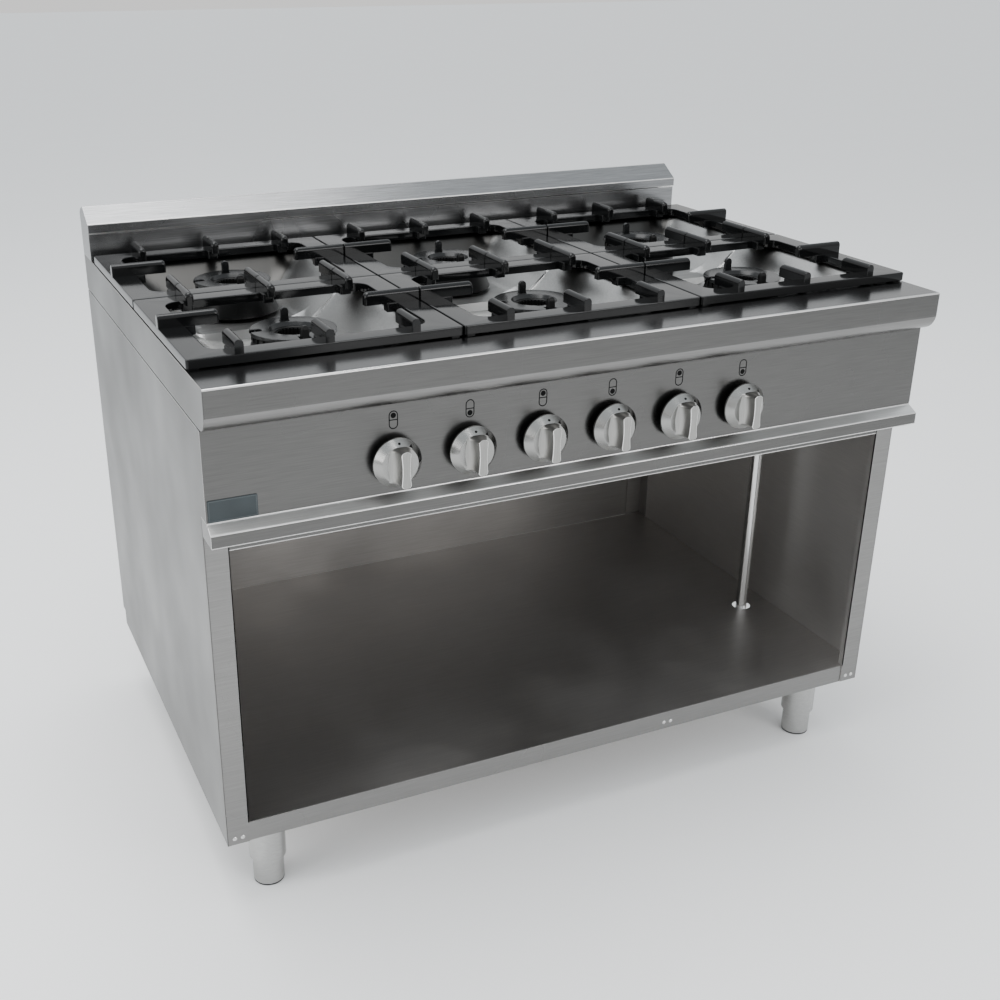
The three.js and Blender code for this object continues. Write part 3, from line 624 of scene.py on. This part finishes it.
def worktop():
    across = []
    for column in COLUMNS.values():
        for edge in (WELL_HALF, FRONT_FLOOR["half"], REAR_FLOOR["half"]):
            across += [column - edge, column + edge]
    xs = lines(-HALF + 1.2, HALF - 1.2, across, 7.0)
    marks = [WELL_FRONT, FRONT_FLOOR["front"], FRONT_FLOOR["rear"], REAR_FLOOR["front"], REAR_FLOOR["rear"],
             WELL_REAR]
    ys = lines(LIP_Y + TOP_BEND, REAR_Y - TOP_BEND, marks, 7.0)
    bm = bmesh.new()
    nose = arc(LIP_Y + NOSE_R, NOSE_BOTTOM + NOSE_R, NOSE_R, 270, 180, 10)
    lip = nose + arc(LIP_Y + TOP_BEND, WORKTOP_Z - TOP_BEND, TOP_BEND, 180, 90, 5)[:-1]
    rear = arc(REAR_Y - TOP_BEND, WORKTOP_Z - TOP_BEND, TOP_BEND, 90, 0, 5)[1:] + [(REAR_Y, SKIRT_BOTTOM)]
    rows = [[(x, y, z) for x in xs] for y, z in lip]
    rows += [[(x, y, worktop_height(x, y)) for x in xs] for y in ys]
    rows += [[(x, y, z) for x in xs] for y, z in rear]
    grid = [[bm.verts.new(p) for p in row] for row in rows]
    for first, second in zip(grid, grid[1:]):
        for i in range(len(xs) - 1):
            bm.faces.new((first[i], first[i + 1], second[i + 1], second[i]))
    thicken(bm)
    for low, high in ((-HALF, -HALF + SHEET), (HALF - SHEET, HALF)):
        outline = (arc(LIP_Y + NOSE_R, NOSE_BOTTOM + NOSE_R, NOSE_R, 180, 270, 10)
                   + [(REAR_Y, SKIRT_BOTTOM + 1)]
                   + arc(REAR_Y - TOP_BEND, WORKTOP_Z - TOP_BEND, TOP_BEND, 0, 90, 4)
                   + arc(LIP_Y + TOP_BEND, WORKTOP_Z - TOP_BEND, TOP_BEND, 90, 180, 4))
        prism(bm, "X", outline, low, high, edge=0.7)
    sheet = piece("worktop_sheet", bm, top_steel, nodes=["worktop"], sharp=40)
    for material in (bend_highlight_steel, well_highlight_steel, front_steel, nose_highlight_steel, side_steel):
        sheet.data.materials.append(material)
    for face in sheet.data.polygons:
        face.material_index = worktop_finish(face.center / MM, face.normal)


# BEND, NOSE and WELL pick lighter steels: painted highlights on the bends, the lower nose and the wells.
TOP, BEND, WELL, LIP, NOSE, SKIRT = range(6)


def worktop_finish(centre, normal):
    """Which of the worktop's finishes a face has."""
    if abs(centre.x) > HALF - 0.2:
        return SKIRT
    if centre.y < LIP_Y + 2.4:
        if centre.z > WORKTOP_Z - TOP_BEND and abs(normal.y) < 0.99:
            return BEND
        return NOSE if centre.z < NOSE_BOTTOM + 24 else LIP
    if centre.y < LIP_Y + NOSE_R + 1 and centre.z < WORKTOP_Z - 6:
        return NOSE
    if abs(centre.x) > HALF - SHEET and centre.z > WORKTOP_Z - 1.2:
        return BEND
    if abs(centre.y) < 330 and abs(centre.x) < 580 and centre.z < WORKTOP_Z - 0.6:
        return WELL
    return TOP


def thicken(bm):
    """Turns an upward-facing skin into a closed sheet of the metal's thickness."""
    skin = list(bm.verts)
    faces = list(bm.faces)
    bm.normal_update()
    below = {v: bm.verts.new(v.co - v.normal * (SHEET if v.normal.z >= 0 or v.normal.y else -SHEET))
             for v in skin}
    border = [e for e in bm.edges if e.is_boundary]
    for face in faces:
        bm.faces.new([below[v] for v in reversed(face.verts)])
    for edge in border:
        a, b = edge.verts
        bm.faces.new((a, b, below[b], below[a]))


# ---- folded sheet round the cabinet ----------------------------------------------------------------------

def splashback():
    outline = [(357.5, 871.3), (REAR_Y, 871.3), (REAR_Y, 946.0), (415.5, 955.0), (394.5, 961.0),
               (354.5, 936.0), (354.5, 920.0), (357.5, 919.0)]
    rounded = []
    for i, point in enumerate(outline):
        before, here, after = Vector(outline[i - 1]), Vector(point), Vector(outline[(i + 1) % len(outline)])
        r = 1.2 if i not in (0, 1) else 0.5
        r = min(r, (before - here).length / 2.5, (after - here).length / 2.5)
        start = here + (before - here).normalized() * r
        end = here + (after - here).normalized() * r
        for k in range(5):
            t = k / 4
            rounded.append(tuple(start * (1 - t) ** 2 + here * 2 * t * (1 - t) + end * t * t))
    bm = bmesh.new()
    prism(bm, "X", rounded, -HALF, HALF, edge=0.25)
    piece("splashback_fold", bm, splash_steel, nodes=["splashback"], bend_highlight=bend_highlight_steel)


def control_panel():
    bm = bmesh.new()
    holes = [circle(x, KNOB_Z, 8.0, 32) for x in KNOB_X]
    prism(bm, "Y", rectangle(-HALF, HALF, PANEL_BOTTOM, PANEL_FOLD_Z), PANEL_Y, PANEL_Y + SHEET, holes=holes)
    folded(bm, [(BUMPER_REAR - 14, PANEL_TOP), (PANEL_Y, PANEL_TOP), (PANEL_Y, PANEL_FOLD_Z)], -HALF, HALF)
    folded(bm, [(PANEL_Y, PANEL_BOTTOM), (PANEL_Y, BUMPER_TOP), (BUMPER_Y, BUMPER_NOSE),
                (BUMPER_Y, BUMPER_BOTTOM), (BUMPER_REAR, BUMPER_BOTTOM), (BUMPER_REAR, BUMPER_BOTTOM + 10)],
           -HALF + 0.4, HALF - 0.4)
    side = [(PANEL_Y, BUMPER_TOP), (BUMPER_Y + 0.8, BUMPER_NOSE), (BUMPER_Y + 0.8, BUMPER_BOTTOM + 0.8),
            (BUMPER_REAR, BUMPER_BOTTOM + 0.8), (BUMPER_REAR, BUMPER_TOP)]
    for low, high in ((-HALF, -HALF + SHEET), (HALF - SHEET, HALF)):
        prism(bm, "X", side, low, high, edge=0.4)
    panel = piece("control_panel_fold", bm, front_steel, nodes=["control_panel"],
                  bend_highlight=bend_highlight_steel)
    panel.data.materials.append(ledge_highlight_steel)
    for face in panel.data.polygons:
        if face.center.z > (PANEL_FOLD_Z - 3) * MM:
            face.material_index = 0
        # Faces sloping up get the light steel, the painted highlight.
        elif 0.3 < face.normal.z < 0.97 and face.material_index == 0:
            face.material_index = 2


def side_panels():
    for name, sign in (("left", -1), ("right", 1)):
        bm = bmesh.new()
        outline = [(STILE_Y, CABINET_BOTTOM), (FLOOR_REAR, CABINET_BOTTOM), (FLOOR_REAR, REAR_STEP_Z),
                   (REAR_Y, REAR_STEP_Z), (REAR_Y, SIDE_TOP), (SIDE_FRONT, SIDE_TOP),
                   (SIDE_FRONT, BUMPER_TOP), (STILE_Y, BUMPER_TOP)]
        low, high = sorted((sign * HALF, sign * (HALF - SHEET)))
        prism(bm, "X", outline, low, high, edge=0.5)
        x0, x1 = sorted((sign * HALF, sign * (HALF - STILE_WIDTH)))
        box(bm, x0, x1, STILE_Y, STILE_Y + SHEET, CABINET_BOTTOM, STILE_TOP, edge=0.6)
        x0, x1 = sorted((sign * (HALF - STILE_WIDTH), sign * (HALF - STILE_WIDTH + SHEET)))
        box(bm, x0, x1, STILE_Y, STILE_Y + STILE_RETURN, SHEET_LOW, STILE_TOP, edge=0.5)
        panel = piece("side_panel_sheet_" + name, bm, side_steel, nodes=["side_panel_" + name],
                      bend_highlight=bend_highlight_steel)
        panel.data.materials.append(inner_side_lit_steel)
        panel.data.materials.append(flange_steel)
        for face in panel.data.polygons:
            # The inner face of each side sheet gets the lighter steel: painted fill light inside the cabinet.
            if face.normal.x * sign < -0.9:
                face.material_index = 2
            elif face.normal.y < -0.9:
                face.material_index = 3


def cabinet():
    bm = bmesh.new()
    box(bm, -INNER_HALF, INNER_HALF, BACK_Y, BACK_Y + SHEET, SHEET_LOW, BACK_TOP)
    for sign in (-1, 1):
        x0, x1 = sorted((sign * INNER_HALF, sign * (INNER_HALF - SHEET)))
        box(bm, x0, x1, BACK_Y, BACK_Y + 24, SHEET_LOW, BACK_TOP)
    piece("back_sheet", bm, inner_steel, nodes=["back_panel"])

    bm = bmesh.new()
    hole = circle(PIPE_X, PIPE_Y, PIPE_HOLE_R, 40)
    prism(bm, "Z", rectangle(-INNER_HALF, INNER_HALF, TRAY_FRONT, FLOOR_REAR), FLOOR_TOP - SHEET, FLOOR_TOP,
          holes=[hole], edge=0.6)
    low = CABINET_BOTTOM
    high = FLOOR_TOP - SHEET
    box(bm, -INNER_HALF, INNER_HALF, TRAY_FRONT, TRAY_FRONT + SHEET, low, high)
    box(bm, -INNER_HALF, INNER_HALF, FLOOR_REAR - SHEET, FLOOR_REAR, low, high)
    for sign in (-1, 1):
        x0, x1 = sorted((sign * INNER_HALF, sign * (INNER_HALF - SHEET)))
        box(bm, x0, x1, TRAY_FRONT, FLOOR_REAR, low, high)
    tray = piece("floor_tray", bm, tray_lit_steel, nodes=["cabinet_floor"], bend_highlight=bend_highlight_steel)
    tray.data.materials.append(flange_steel)
    for face in tray.data.polygons:
        if face.normal.y < -0.9:
            face.material_index = 2

    bm = bmesh.new()
    rail = [(STILE_Y, BUMPER_TOP), (STILE_Y, RAIL_BOTTOM), (STILE_Y + 13, RAIL_BOTTOM)]
    folded(bm, rail, -RAIL_HALF, RAIL_HALF)
    piece("cross_rail_fold", bm, front_steel, nodes=["front_cross_rail"],
          bend_highlight=bend_highlight_steel)

    for name, sign in (("left", -1), ("right", 1)):
        bm = bmesh.new()
        x0, x1 = sorted((sign * INNER_HALF, sign * (INNER_HALF - BRACKET_WIDTH)))
        box(bm, x0, x1, BRACKET_Y - SHEET, BRACKET_Y, SHEET_LOW, BRACKET_TOP)
        x0, x1 = sorted((sign * INNER_HALF, sign * (INNER_HALF - SHEET)))
        box(bm, x0, x1, BRACKET_Y - BRACKET_DEPTH, BRACKET_Y, SHEET_LOW, BRACKET_TOP)
        piece("rear_angle_" + name, bm, inner_steel, nodes=["rear_bracket_" + name])


def rivets():
    """Round heads at the foot of each stile and in the middle of the floor's front flange."""
    for index, (x, z, y) in enumerate([
        (-588.4, 136.0, STILE_Y), (-576.0, 136.0, STILE_Y), (576.0, 136.0, STILE_Y), (588.4, 136.0, STILE_Y),
        (180.0, 138.0, TRAY_FRONT), (193.4, 138.0, TRAY_FRONT),
    ]):
        bm = bmesh.new()
        lathe(bm, "Y", (x, z), [(0, y - 1.3), (1.6, y - 1.2), (2.9, y - 0.8), (3.5, y - 0.2), (3.5, y + 0.6),
                                (0, y + 0.6)], 24)
        piece(f"rivet_{index + 1}", bm, rivet_steel)


worktop()
splashback()
control_panel()
side_panels()
cabinet()
rivets()


# ---- badge, dials and printed diagrams -------------------------------------------------------------------

def plate_outline(margin, r):
    return rounded_rectangle(BADGE_X[0] + margin, BADGE_X[1] - margin, BADGE_Z[0] + margin,
                             BADGE_Z[1] - margin, r, 4)


def badge():
    """Blank plate at the left of the panel, with a plain border."""
    bm = bmesh.new()
    prism(bm, "Y", plate_outline(0, 1.5), BADGE_Y, BADGE_Y + 0.7, edge=0.2)
    piece("badge_face", bm, badge_black, nodes=["badge_plate"])
    bm = bmesh.new()
    prism(bm, "Y", plate_outline(1.2, 1.0), BADGE_Y - 0.1, BADGE_Y + 0.2, holes=[plate_outline(2.4, 0.5)])
    piece("badge_border", bm, badge_rim)


def capsule(x, z, half_width, half_height):
    r = half_width
    return (arc(x, z - half_height + r, r, 180, 360, 16) + arc(x, z + half_height - r, r, 0, 180, 16))


def valve_diagrams():
    """The printed burner position over each knob: a capsule with a bar across and a dot at one end."""
    for k, x in enumerate(KNOB_X):
        z = DIAGRAM_Z
        bm = bmesh.new()
        near, far = PANEL_Y - 0.12, PANEL_Y + 0.05
        prism(bm, "Y", capsule(x, z, 6.9, 13.5), near, far, holes=[capsule(x, z, 5.4, 12.0)])
        prism(bm, "Y", rectangle(x - 5.8, x + 5.8, z - 0.7, z + 0.7), near, far)
        dot = z + 6.4 if k % 2 == 0 else z - 6.4
        prism(bm, "Y", circle(x, dot, 4.0, 24), near, far)
        piece(f"valve_diagram_{k + 1}", bm, print_black)


GRIP_END_R = 26.8
GRIP_ROUND = 0.8
FACE_Y = -406.5
GRIP_FRONT_Y = -428.5


def grip_outline(x, end, waist):
    """Hourglass bar with round ends seen from the front, as long as the dial's face is wide."""
    right = []
    for i in range(49):
        u = math.sin(math.radians(-90 + 180 * i / 48))
        beyond = max(abs(u) - GRIP_ROUND, 0) / (1 - GRIP_ROUND)
        half = (waist + (end - waist) * u * u) * math.sqrt(max(1 - beyond ** 2, 0))
        right.append((max(half, 0.01), u * GRIP_END_R))
    left = [(-half, z) for half, z in reversed(right)]
    return [(x + half, KNOB_Z + z) for half, z in right + left]


def dial_mark(bm, x, angle, radius, shape, thickness=0.25):
    """A printed mark on the dial's bevel, clockwise angle from the top."""
    slope = Vector((9.3, 11.0)).normalized()
    level = FACE_Y + (radius - 27) * slope.y / slope.x
    a = math.radians(angle)
    out = Vector((math.sin(a), 0, math.cos(a)))
    normal = (out * slope.y + Vector((0, -1, 0)) * slope.x).normalized()
    up = (out * slope.x + Vector((0, 1, 0)) * slope.y).normalized()
    side = up.cross(normal)
    centre = Vector((x, level, KNOB_Z)) + out * radius
    turn = Matrix((side, up, normal)).transposed().to_4x4()
    before = set(bm.verts)
    prism(bm, "Z", shape, -0.15, thickness)
    fresh = [v for v in bm.verts if v not in before]
    bmesh.ops.transform(bm, matrix=Matrix.Translation(centre) @ turn, verts=fresh)


def flame(size):
    """Teardrop with its point up."""
    return arc(0, -0.25 * size, 0.5 * size, -200, 20, 14) + [(0.18 * size, 0.42 * size), (0, 0.9 * size),
                                                             (-0.18 * size, 0.42 * size)]


def knobs():
    for k, x in enumerate(KNOB_X):
        name = f"knob_{k + 1}"
        stem_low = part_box(f"tap_stem_{k + 1}")[0]
        bore_end = stem_low[1] / MM - 0.3
        bm = bmesh.new()
        lathe(bm, "Y", (x, KNOB_Z), [
            (0, FACE_Y + 0.6), (16, FACE_Y + 0.6), (26.0, FACE_Y), (26.8, FACE_Y + 0.1), (27.4, FACE_Y + 0.7),
            (35.6, -396.3), (36.2, -395.7), (36.3, -395.2), (36.3, -392.9), (36.0, -392.5), (20, -392.5),
            (19.7, -392.2), (19.7, -387.3), (4.4, -387.3), (4.4, bore_end), (0, bore_end)], 96)
        piece("dial_" + str(k + 1), bm, nickel, body=name, nodes=[name], sharp=24)
        bm = bmesh.new()
        rings = []
        for i in range(17):
            level = 1 - math.cos(math.radians(90 * i / 16))
            flare = 1 - math.sqrt(1 - (1 - level) ** 2)
            rings.append((grip_outline(x, 8 + 9 * flare, 5.8 + 13 * flare),
                          FACE_Y + 0.5 + (GRIP_FRONT_Y + 0.7 - FACE_Y - 0.5) * level))
        rings.append((grip_outline(x, 7.75, 5.55), GRIP_FRONT_Y + 0.25))
        rings.append((inset(grip_outline(x, 7.4, 5.2), 0.2), GRIP_FRONT_Y + 0.02))
        loft(bm, "Y", rings)
        grip = piece("grip_" + str(k + 1), bm, grip_nickel, body=name, sharp=40,
                     bend_highlight=nickel_edge_highlight)
        # Only the front edge faces keep the bright nickel, the painted highlight.
        for face in grip.data.polygons:
            if face.center.y > (GRIP_FRONT_Y + 1) * MM:
                face.material_index = 0
        bm = bmesh.new()
        dial_mark(bm, x, 0, 30.5, circle(0, 0, 1.9, 20))
        dial_mark(bm, x, 35, 30.0, flame(4.6))
        dial_mark(bm, x, 90, 31.5, flame(4.0))
        dial_mark(bm, x, 150, 30.5, flame(3.0))
        piece("dial_marks_" + str(k + 1), bm, print_black, body=name)


badge()
valve_diagrams()
knobs()


# ---- grates ----------------------------------------------------------------------------------------------

def finger_rings(length):
    """Sections of a finger from its outer end to its free end: (distance, half width, top)."""
    rings = []
    for back in (0.0, 0.5, 1.4):
        drop = 1.4 - math.sqrt(max(1.4 ** 2 - (1.4 - back) ** 2, 0))
        rings.append((back, FINGER_R - drop * 0.6, FINGER_TOP - drop))
    for i in range(9):
        a = math.radians(90 * i / 8)
        left = FINGER_R * (1 - math.sin(a))
        narrow = max(3.0 - left, 0.0)
        shrink = 3.0 - math.sqrt(max(9.0 - narrow ** 2, 0))
        rings.append((length - left, FINGER_R - shrink, FINGER_TOP - FINGER_R * (1 - math.cos(a)) * 0.9))
    return rings


def finger(bm, start, direction, length):
    """A support bar that stands on the frame at start and runs inwards along a unit direction."""
    direction = Vector((*direction, 0))
    side = Vector((-direction.y, direction.x, 0))
    loops = []
    for distance, half, top in finger_rings(length):
        centre = Vector((*start, 0)) + direction * distance
        section = [(-half, GRATE_TOP - 0.8)] + [
            (half * math.cos(math.radians(a)), top - half + half * math.sin(math.radians(a)))
            for a in range(180, -1, -15)] + [(half, GRATE_TOP - 0.8)]
        loops.append([bm.verts.new(centre + side * u + Vector((0, 0, z))) for u, z in section])
    for first, second in zip(loops, loops[1:]):
        bridge(bm, first, second)
    bm.faces.new(loops[0])
    bm.faces.new(loops[-1])


def grate(row, column):
    x = COLUMNS[column]
    y0, y1 = ROWS[row]
    y0 = y0 + 1 if row == "rear" else y0
    y1 = y1 - 1 if row == "front" else y1
    x0, x1 = x - GRATE_WIDTH / 2, x + GRATE_WIDTH / 2
    bm = bmesh.new()
    edge = 2.2
    levels = [(0.8, GRATE_BOTTOM), (0.0, GRATE_BOTTOM + 0.8), (0.0, GRATE_TOP - edge),
              (edge * 0.3, GRATE_TOP - edge * 0.3), (edge, GRATE_TOP)]
    outer = rounded_rectangle(x0, x1, y0, y1, 4.0)
    inner = rounded_rectangle(x0 + SIDE_BAR, x1 - SIDE_BAR, y0 + END_BAR, y1 - END_BAR, GRATE_CORNER)
    skins = []
    for outline, sign in ((outer, 1), (inner, -1)):
        loops = [[bm.verts.new((*p, z)) for p in inset(outline, sign * d)] for d, z in levels]
        for first, second in zip(loops, loops[1:]):
            bridge(bm, first, second)
        skins.append(loops)
    for level in (0, -1):
        bridge(bm, skins[0][level], skins[1][level])
    for dx in (-FINGER_OFFSET, 0, FINGER_OFFSET):
        finger(bm, (x + dx, y0), (0, 1), FINGER_LENGTH)
        finger(bm, (x + dx, y1), (0, -1), FINGER_LENGTH)
        for a, b in ((y0 + 3, y0 + END_BAR + 15), (y1 - END_BAR - 15, y1 - 3)):
            root = rounded_rectangle(x + dx - 9, x + dx + 9, a, b, 3.0, 4)
            prism(bm, "Z", root, GRATE_BOTTOM, GRATE_TOP - 0.1, edge=0.8)
    middle = (y0 + y1) / 2
    finger(bm, (x0, middle), (1, 0), SIDE_FINGER_LENGTH)
    finger(bm, (x1, middle), (-1, 0), SIDE_FINGER_LENGTH)
    for a, b in ((x0 + 3, x0 + SIDE_BAR + 15), (x1 - SIDE_BAR - 15, x1 - 3)):
        root = rounded_rectangle(a, b, middle - 9, middle + 9, 3.0, 4)
        prism(bm, "Z", root, GRATE_BOTTOM, GRATE_TOP - 0.1, edge=0.8)
    for pad_x in (x0 + 3, x1 - 19):
        for pad_y in (y0 + 3, y1 - 19):
            prism(bm, "Z", rounded_rectangle(pad_x, pad_x + 16, pad_y, pad_y + 16, 2.5, 4), 871.3, 873.4)
    name = f"grate_{row}_{column}"
    piece("iron_" + name, bm, enamel, body=name, nodes=[name], sharp=38)


# ---- burners ---------------------------------------------------------------------------------------------

def cap_outline(x, y, r, pilot_half, pilot_in, notch_half, notch_in):
    """The ring seen from above, notched in front for the pilot head and at the left for the electrode."""
    points = []
    for i in range(96):
        a = 360 * i / 96
        px, py = x + r * math.cos(math.radians(a)), y + r * math.sin(math.radians(a))
        in_front = py < y and abs(px - x) < pilot_half + 1.5
        at_left = px < x and abs(py - y - 8) < notch_half + 1.5
        if not in_front and not at_left:
            points.append((a, (px, py)))
    reach = math.sqrt(r * r - pilot_half ** 2)
    corners = [(-pilot_half, -reach), (-pilot_half, -pilot_in), (pilot_half, -pilot_in), (pilot_half, -reach)]
    points += [(270 + (i - 1.5) * 0.01, (x + u, y + v)) for i, (u, v) in enumerate(corners)]
    lows = -math.sqrt(r * r - (8 - notch_half) ** 2)
    highs = -math.sqrt(r * r - (8 + notch_half) ** 2)
    inner = []
    for sign, angle in ((1, 90), (1, 45), (1, 0), (-1, 0), (-1, -45), (-1, -90)):
        turn = math.radians(angle)
        inner.append((-notch_in + 4 * math.cos(turn), 8 + (notch_half - 4) * sign + 4 * math.sin(turn)))
    shape = [(highs, 8 + notch_half)] + inner + [(lows, 8 - notch_half)]
    points += [(173 + i * 0.01, (x + u, y + v)) for i, (u, v) in enumerate(shape)]
    return [p for _, p in sorted(points)]


def cap(row, column):
    x = COLUMNS[column]
    y = sum(ROWS[row]) / 2
    bm = bmesh.new()
    outline = cap_outline(x, y, CAP_R, 8.0, 47.0, 6.5, 50.0)
    mouth = circle(x, y, CAP_MOUTH, 64)
    hole = circle(x, y, CAP_HOLE, 64)
    levels = [(1.2, CAP_BOTTOM), (0.2, CAP_BOTTOM + 1), (0.0, CAP_BOTTOM + 2), (0.0, CAP_TOP - 1.4),
              (0.4, CAP_TOP - 0.4), (1.3, CAP_TOP)]
    loops = [[bm.verts.new((*p, z)) for p in inset(outline, d)] for d, z in levels]
    for first, second in zip(loops, loops[1:]):
        bridge(bm, first, second)
    funnel = [[bm.verts.new((*p, z)) for p in ring] for ring, z in (
        (hole, CAP_BOTTOM), (circle(x, y, CAP_MOUTH - 0.8, 64), CAP_TOP - 0.6), (mouth, CAP_TOP))]
    for first, second in zip(funnel, funnel[1:]):
        bridge(bm, first, second)
    for ends in ((loops[0], funnel[0]), (loops[-1], funnel[-1])):
        edges = [bm.edges.get((ring[i - 1], ring[i])) for ring in ends for i in range(len(ring))]
        bmesh.ops.triangle_fill(bm, edges=edges, use_beauty=True)
    fin = ([(x - 9, CAP_TOP - 1), (x + 9, CAP_TOP - 1), (x + 6.6, CAP_TOP + 1.2), (x + 6, CAP_TOP + 4)]
           + arc(x, 879, 6, 0, 180, 12) + [(x - 6, CAP_TOP + 4), (x - 6.6, CAP_TOP + 1.2)])
    prism(bm, "Y", fin, y + FIN_Y - 3, y + FIN_Y + 3, edge=0.7)
    name = f"{row}_{column}"
    piece("ring_" + name, bm, cap_enamel, body="cap_" + name, nodes=["burner_cap_" + name],
          sharp=38)


def burner(row, column):
    x = COLUMNS[column]
    y = sum(ROWS[row]) / 2
    floor = FRONT_FLOOR["z"] if row == "front" else REAR_FLOOR["z"]
    bm = bmesh.new()
    lathe(bm, "Z", (x, y), [
        (0, CASTING_LOW), (38, CASTING_LOW), (38, floor + 0.3), (52, floor + 0.3), (52, floor + 6),
        (75, floor + 6), (76, floor + 7.2), (75.4, floor + 9), (62, 846), (60.5, 849), (60, CASTING_TOP - 1),
        (59.4, CASTING_TOP), (27.8, CASTING_TOP), (27, CASTING_TOP - 0.7), (27, 836), (0, 836)])
    for i in range(CASTING_SLOTS):
        a = 2 * math.pi * i / CASTING_SLOTS
        before = set(bm.verts)
        box(bm, 60.2, 62.0, -2.2, 2.2, 848.5, 857.0, edge=0.3)
        box(bm, 24.6, 27.4, -1.8, 1.8, 836.5, 856.0, edge=0.3)
        fresh = [v for v in bm.verts if v not in before]
        turn = Matrix.Translation((x, y, 0)) @ Matrix.Rotation(a, 4, "Z")
        bmesh.ops.transform(bm, matrix=turn, verts=fresh)
    lathe(bm, "Z", (x, y), [(0, 835), (14, 835), (14, 843), (12, 845), (0, 846)], 32)
    lathe(bm, "Y", (x, VENTURI_Z), [
        (0, y - 40), (10, y - 40), (10, y - 91), (13, y - 98), (13, y - 110), (10.5, y - 110), (7.5, y - 97),
        (7.5, y - 60), (0, y - 60)], 32)
    collar = rounded_rectangle(x - 7, x + 7, y + PILOT_Y - 6, y + PILOT_Y + 6, 1.5, 3)
    prism(bm, "Z", collar, 853.0, 859.5, edge=0.5)
    post = [(rounded_rectangle(x - 6 + d, x + 6 - d, y + PILOT_Y - 5 + d, y + PILOT_Y + 5 - d, 2.0, 4), z)
            for d, z in ((0.0, 854.0), (0.0, 874.0), (0.35, 876.4), (1.1, 878.6), (2.1, 880.2), (2.9, 881.0))]
    loft(bm, "Z", post)
    electrode = (x + ELECTRODE_X, y + ELECTRODE_Y)
    prism(bm, "Z", circle(*electrode, 3.4, 6), 850.0, 857.5, edge=0.3)
    lathe(bm, "Z", electrode, [(0, 850), (1.6, 850), (1.6, 862), (1.0, 863), (0, 863)], 16)
    name = f"burner_{row}_{column}"
    piece("casting_" + name, bm, casting, nodes=[name], sharp=35)


for row_name in ROWS:
    for column_name in COLUMNS:
        grate(row_name, column_name)
        cap(row_name, column_name)
        burner(row_name, column_name)


# ---- supply pipe and legs --------------------------------------------------------------------------------

def supply_pipe():
    bm = bmesh.new()
    quarter = arc(PIPE_Y - PIPE_BEND_R, KNOB_Z - PIPE_BEND_R, PIPE_BEND_R, 0, 90, 10)
    bend = [(PIPE_X, y, z) for y, z in quarter]
    path = [(PIPE_X, PIPE_Y, 116.3), (PIPE_X, PIPE_Y, 400)] + bend + [(PIPE_X, -293.7, KNOB_Z)]
    tube(bm, path, PIPE_R)
    piece("pipe_run", bm, pipe_steel, nodes=["supply_pipe"])


def legs():
    for row_name, y in LEG_Y.items():
        for column_name, x in (("left", -LEG_X), ("right", LEG_X)):
            name = f"{row_name}_{column_name}"
            bm = bmesh.new()
            lathe(bm, "Z", (x, y), [
                (0, LEG_PLATE_LOW), (SLEEVE_BORE, LEG_PLATE_LOW), (SLEEVE_BORE, SLEEVE_LOW),
                (SLEEVE_R - 1.7, SLEEVE_LOW), (SLEEVE_R - 0.7, SLEEVE_LOW + 0.4),
                (SLEEVE_R - 0.1, SLEEVE_LOW + 1.6), (SLEEVE_R, SLEEVE_LOW + 3), (SLEEVE_R, LEG_PLATE_LOW),
                (LEG_PLATE_R - 0.4, LEG_PLATE_LOW), (LEG_PLATE_R, LEG_PLATE_LOW + 0.5),
                (LEG_PLATE_R, LEG_PLATE_TOP - 0.4), (LEG_PLATE_R - 0.4, LEG_PLATE_TOP),
                (0, LEG_PLATE_TOP)], 64)
            piece("leg_sleeve_" + name, bm, leg_steel, nodes=["leg_tube_" + name])
            bm = bmesh.new()
            lathe(bm, "Z", (x, y), [
                (0, PAD_TOP), (FOOT_R - 0.8, PAD_TOP), (FOOT_R - 0.2, PAD_TOP + 0.4), (FOOT_R, PAD_TOP + 1.2),
                (FOOT_R, FOOT_TOP - 0.5), (FOOT_R - 0.5, FOOT_TOP), (0, FOOT_TOP)], 64)
            piece("foot_screw_" + name, bm, leg_steel, body="foot_" + name, nodes=["leg_foot_" + name])
            bm = bmesh.new()
            lathe(bm, "Z", (x, y), [(0, 0), (23.4, 0), (24.3, 0.5), (24.6, 1.4), (24.4, 3.1), (0, 3.1)], 64)
            piece("foot_pad_" + name, bm, rubber, body="foot_" + name)


supply_pipe()
legs()

# ---- finish ----------------------------------------------------------------------------------------------

KEPT_FINISHES = {
    "gas_manifold": pipe_steel, "manifold_elbow": brass, "gas_inlet": brass, "gas_tap": brass,
    "tap_stem": stem_steel,
}
for node_name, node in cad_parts.items():
    for prefix, material in KEPT_FINISHES.items():
        if node_name.startswith(prefix):
            node.data.materials.clear()
            node.data.materials.append(material)
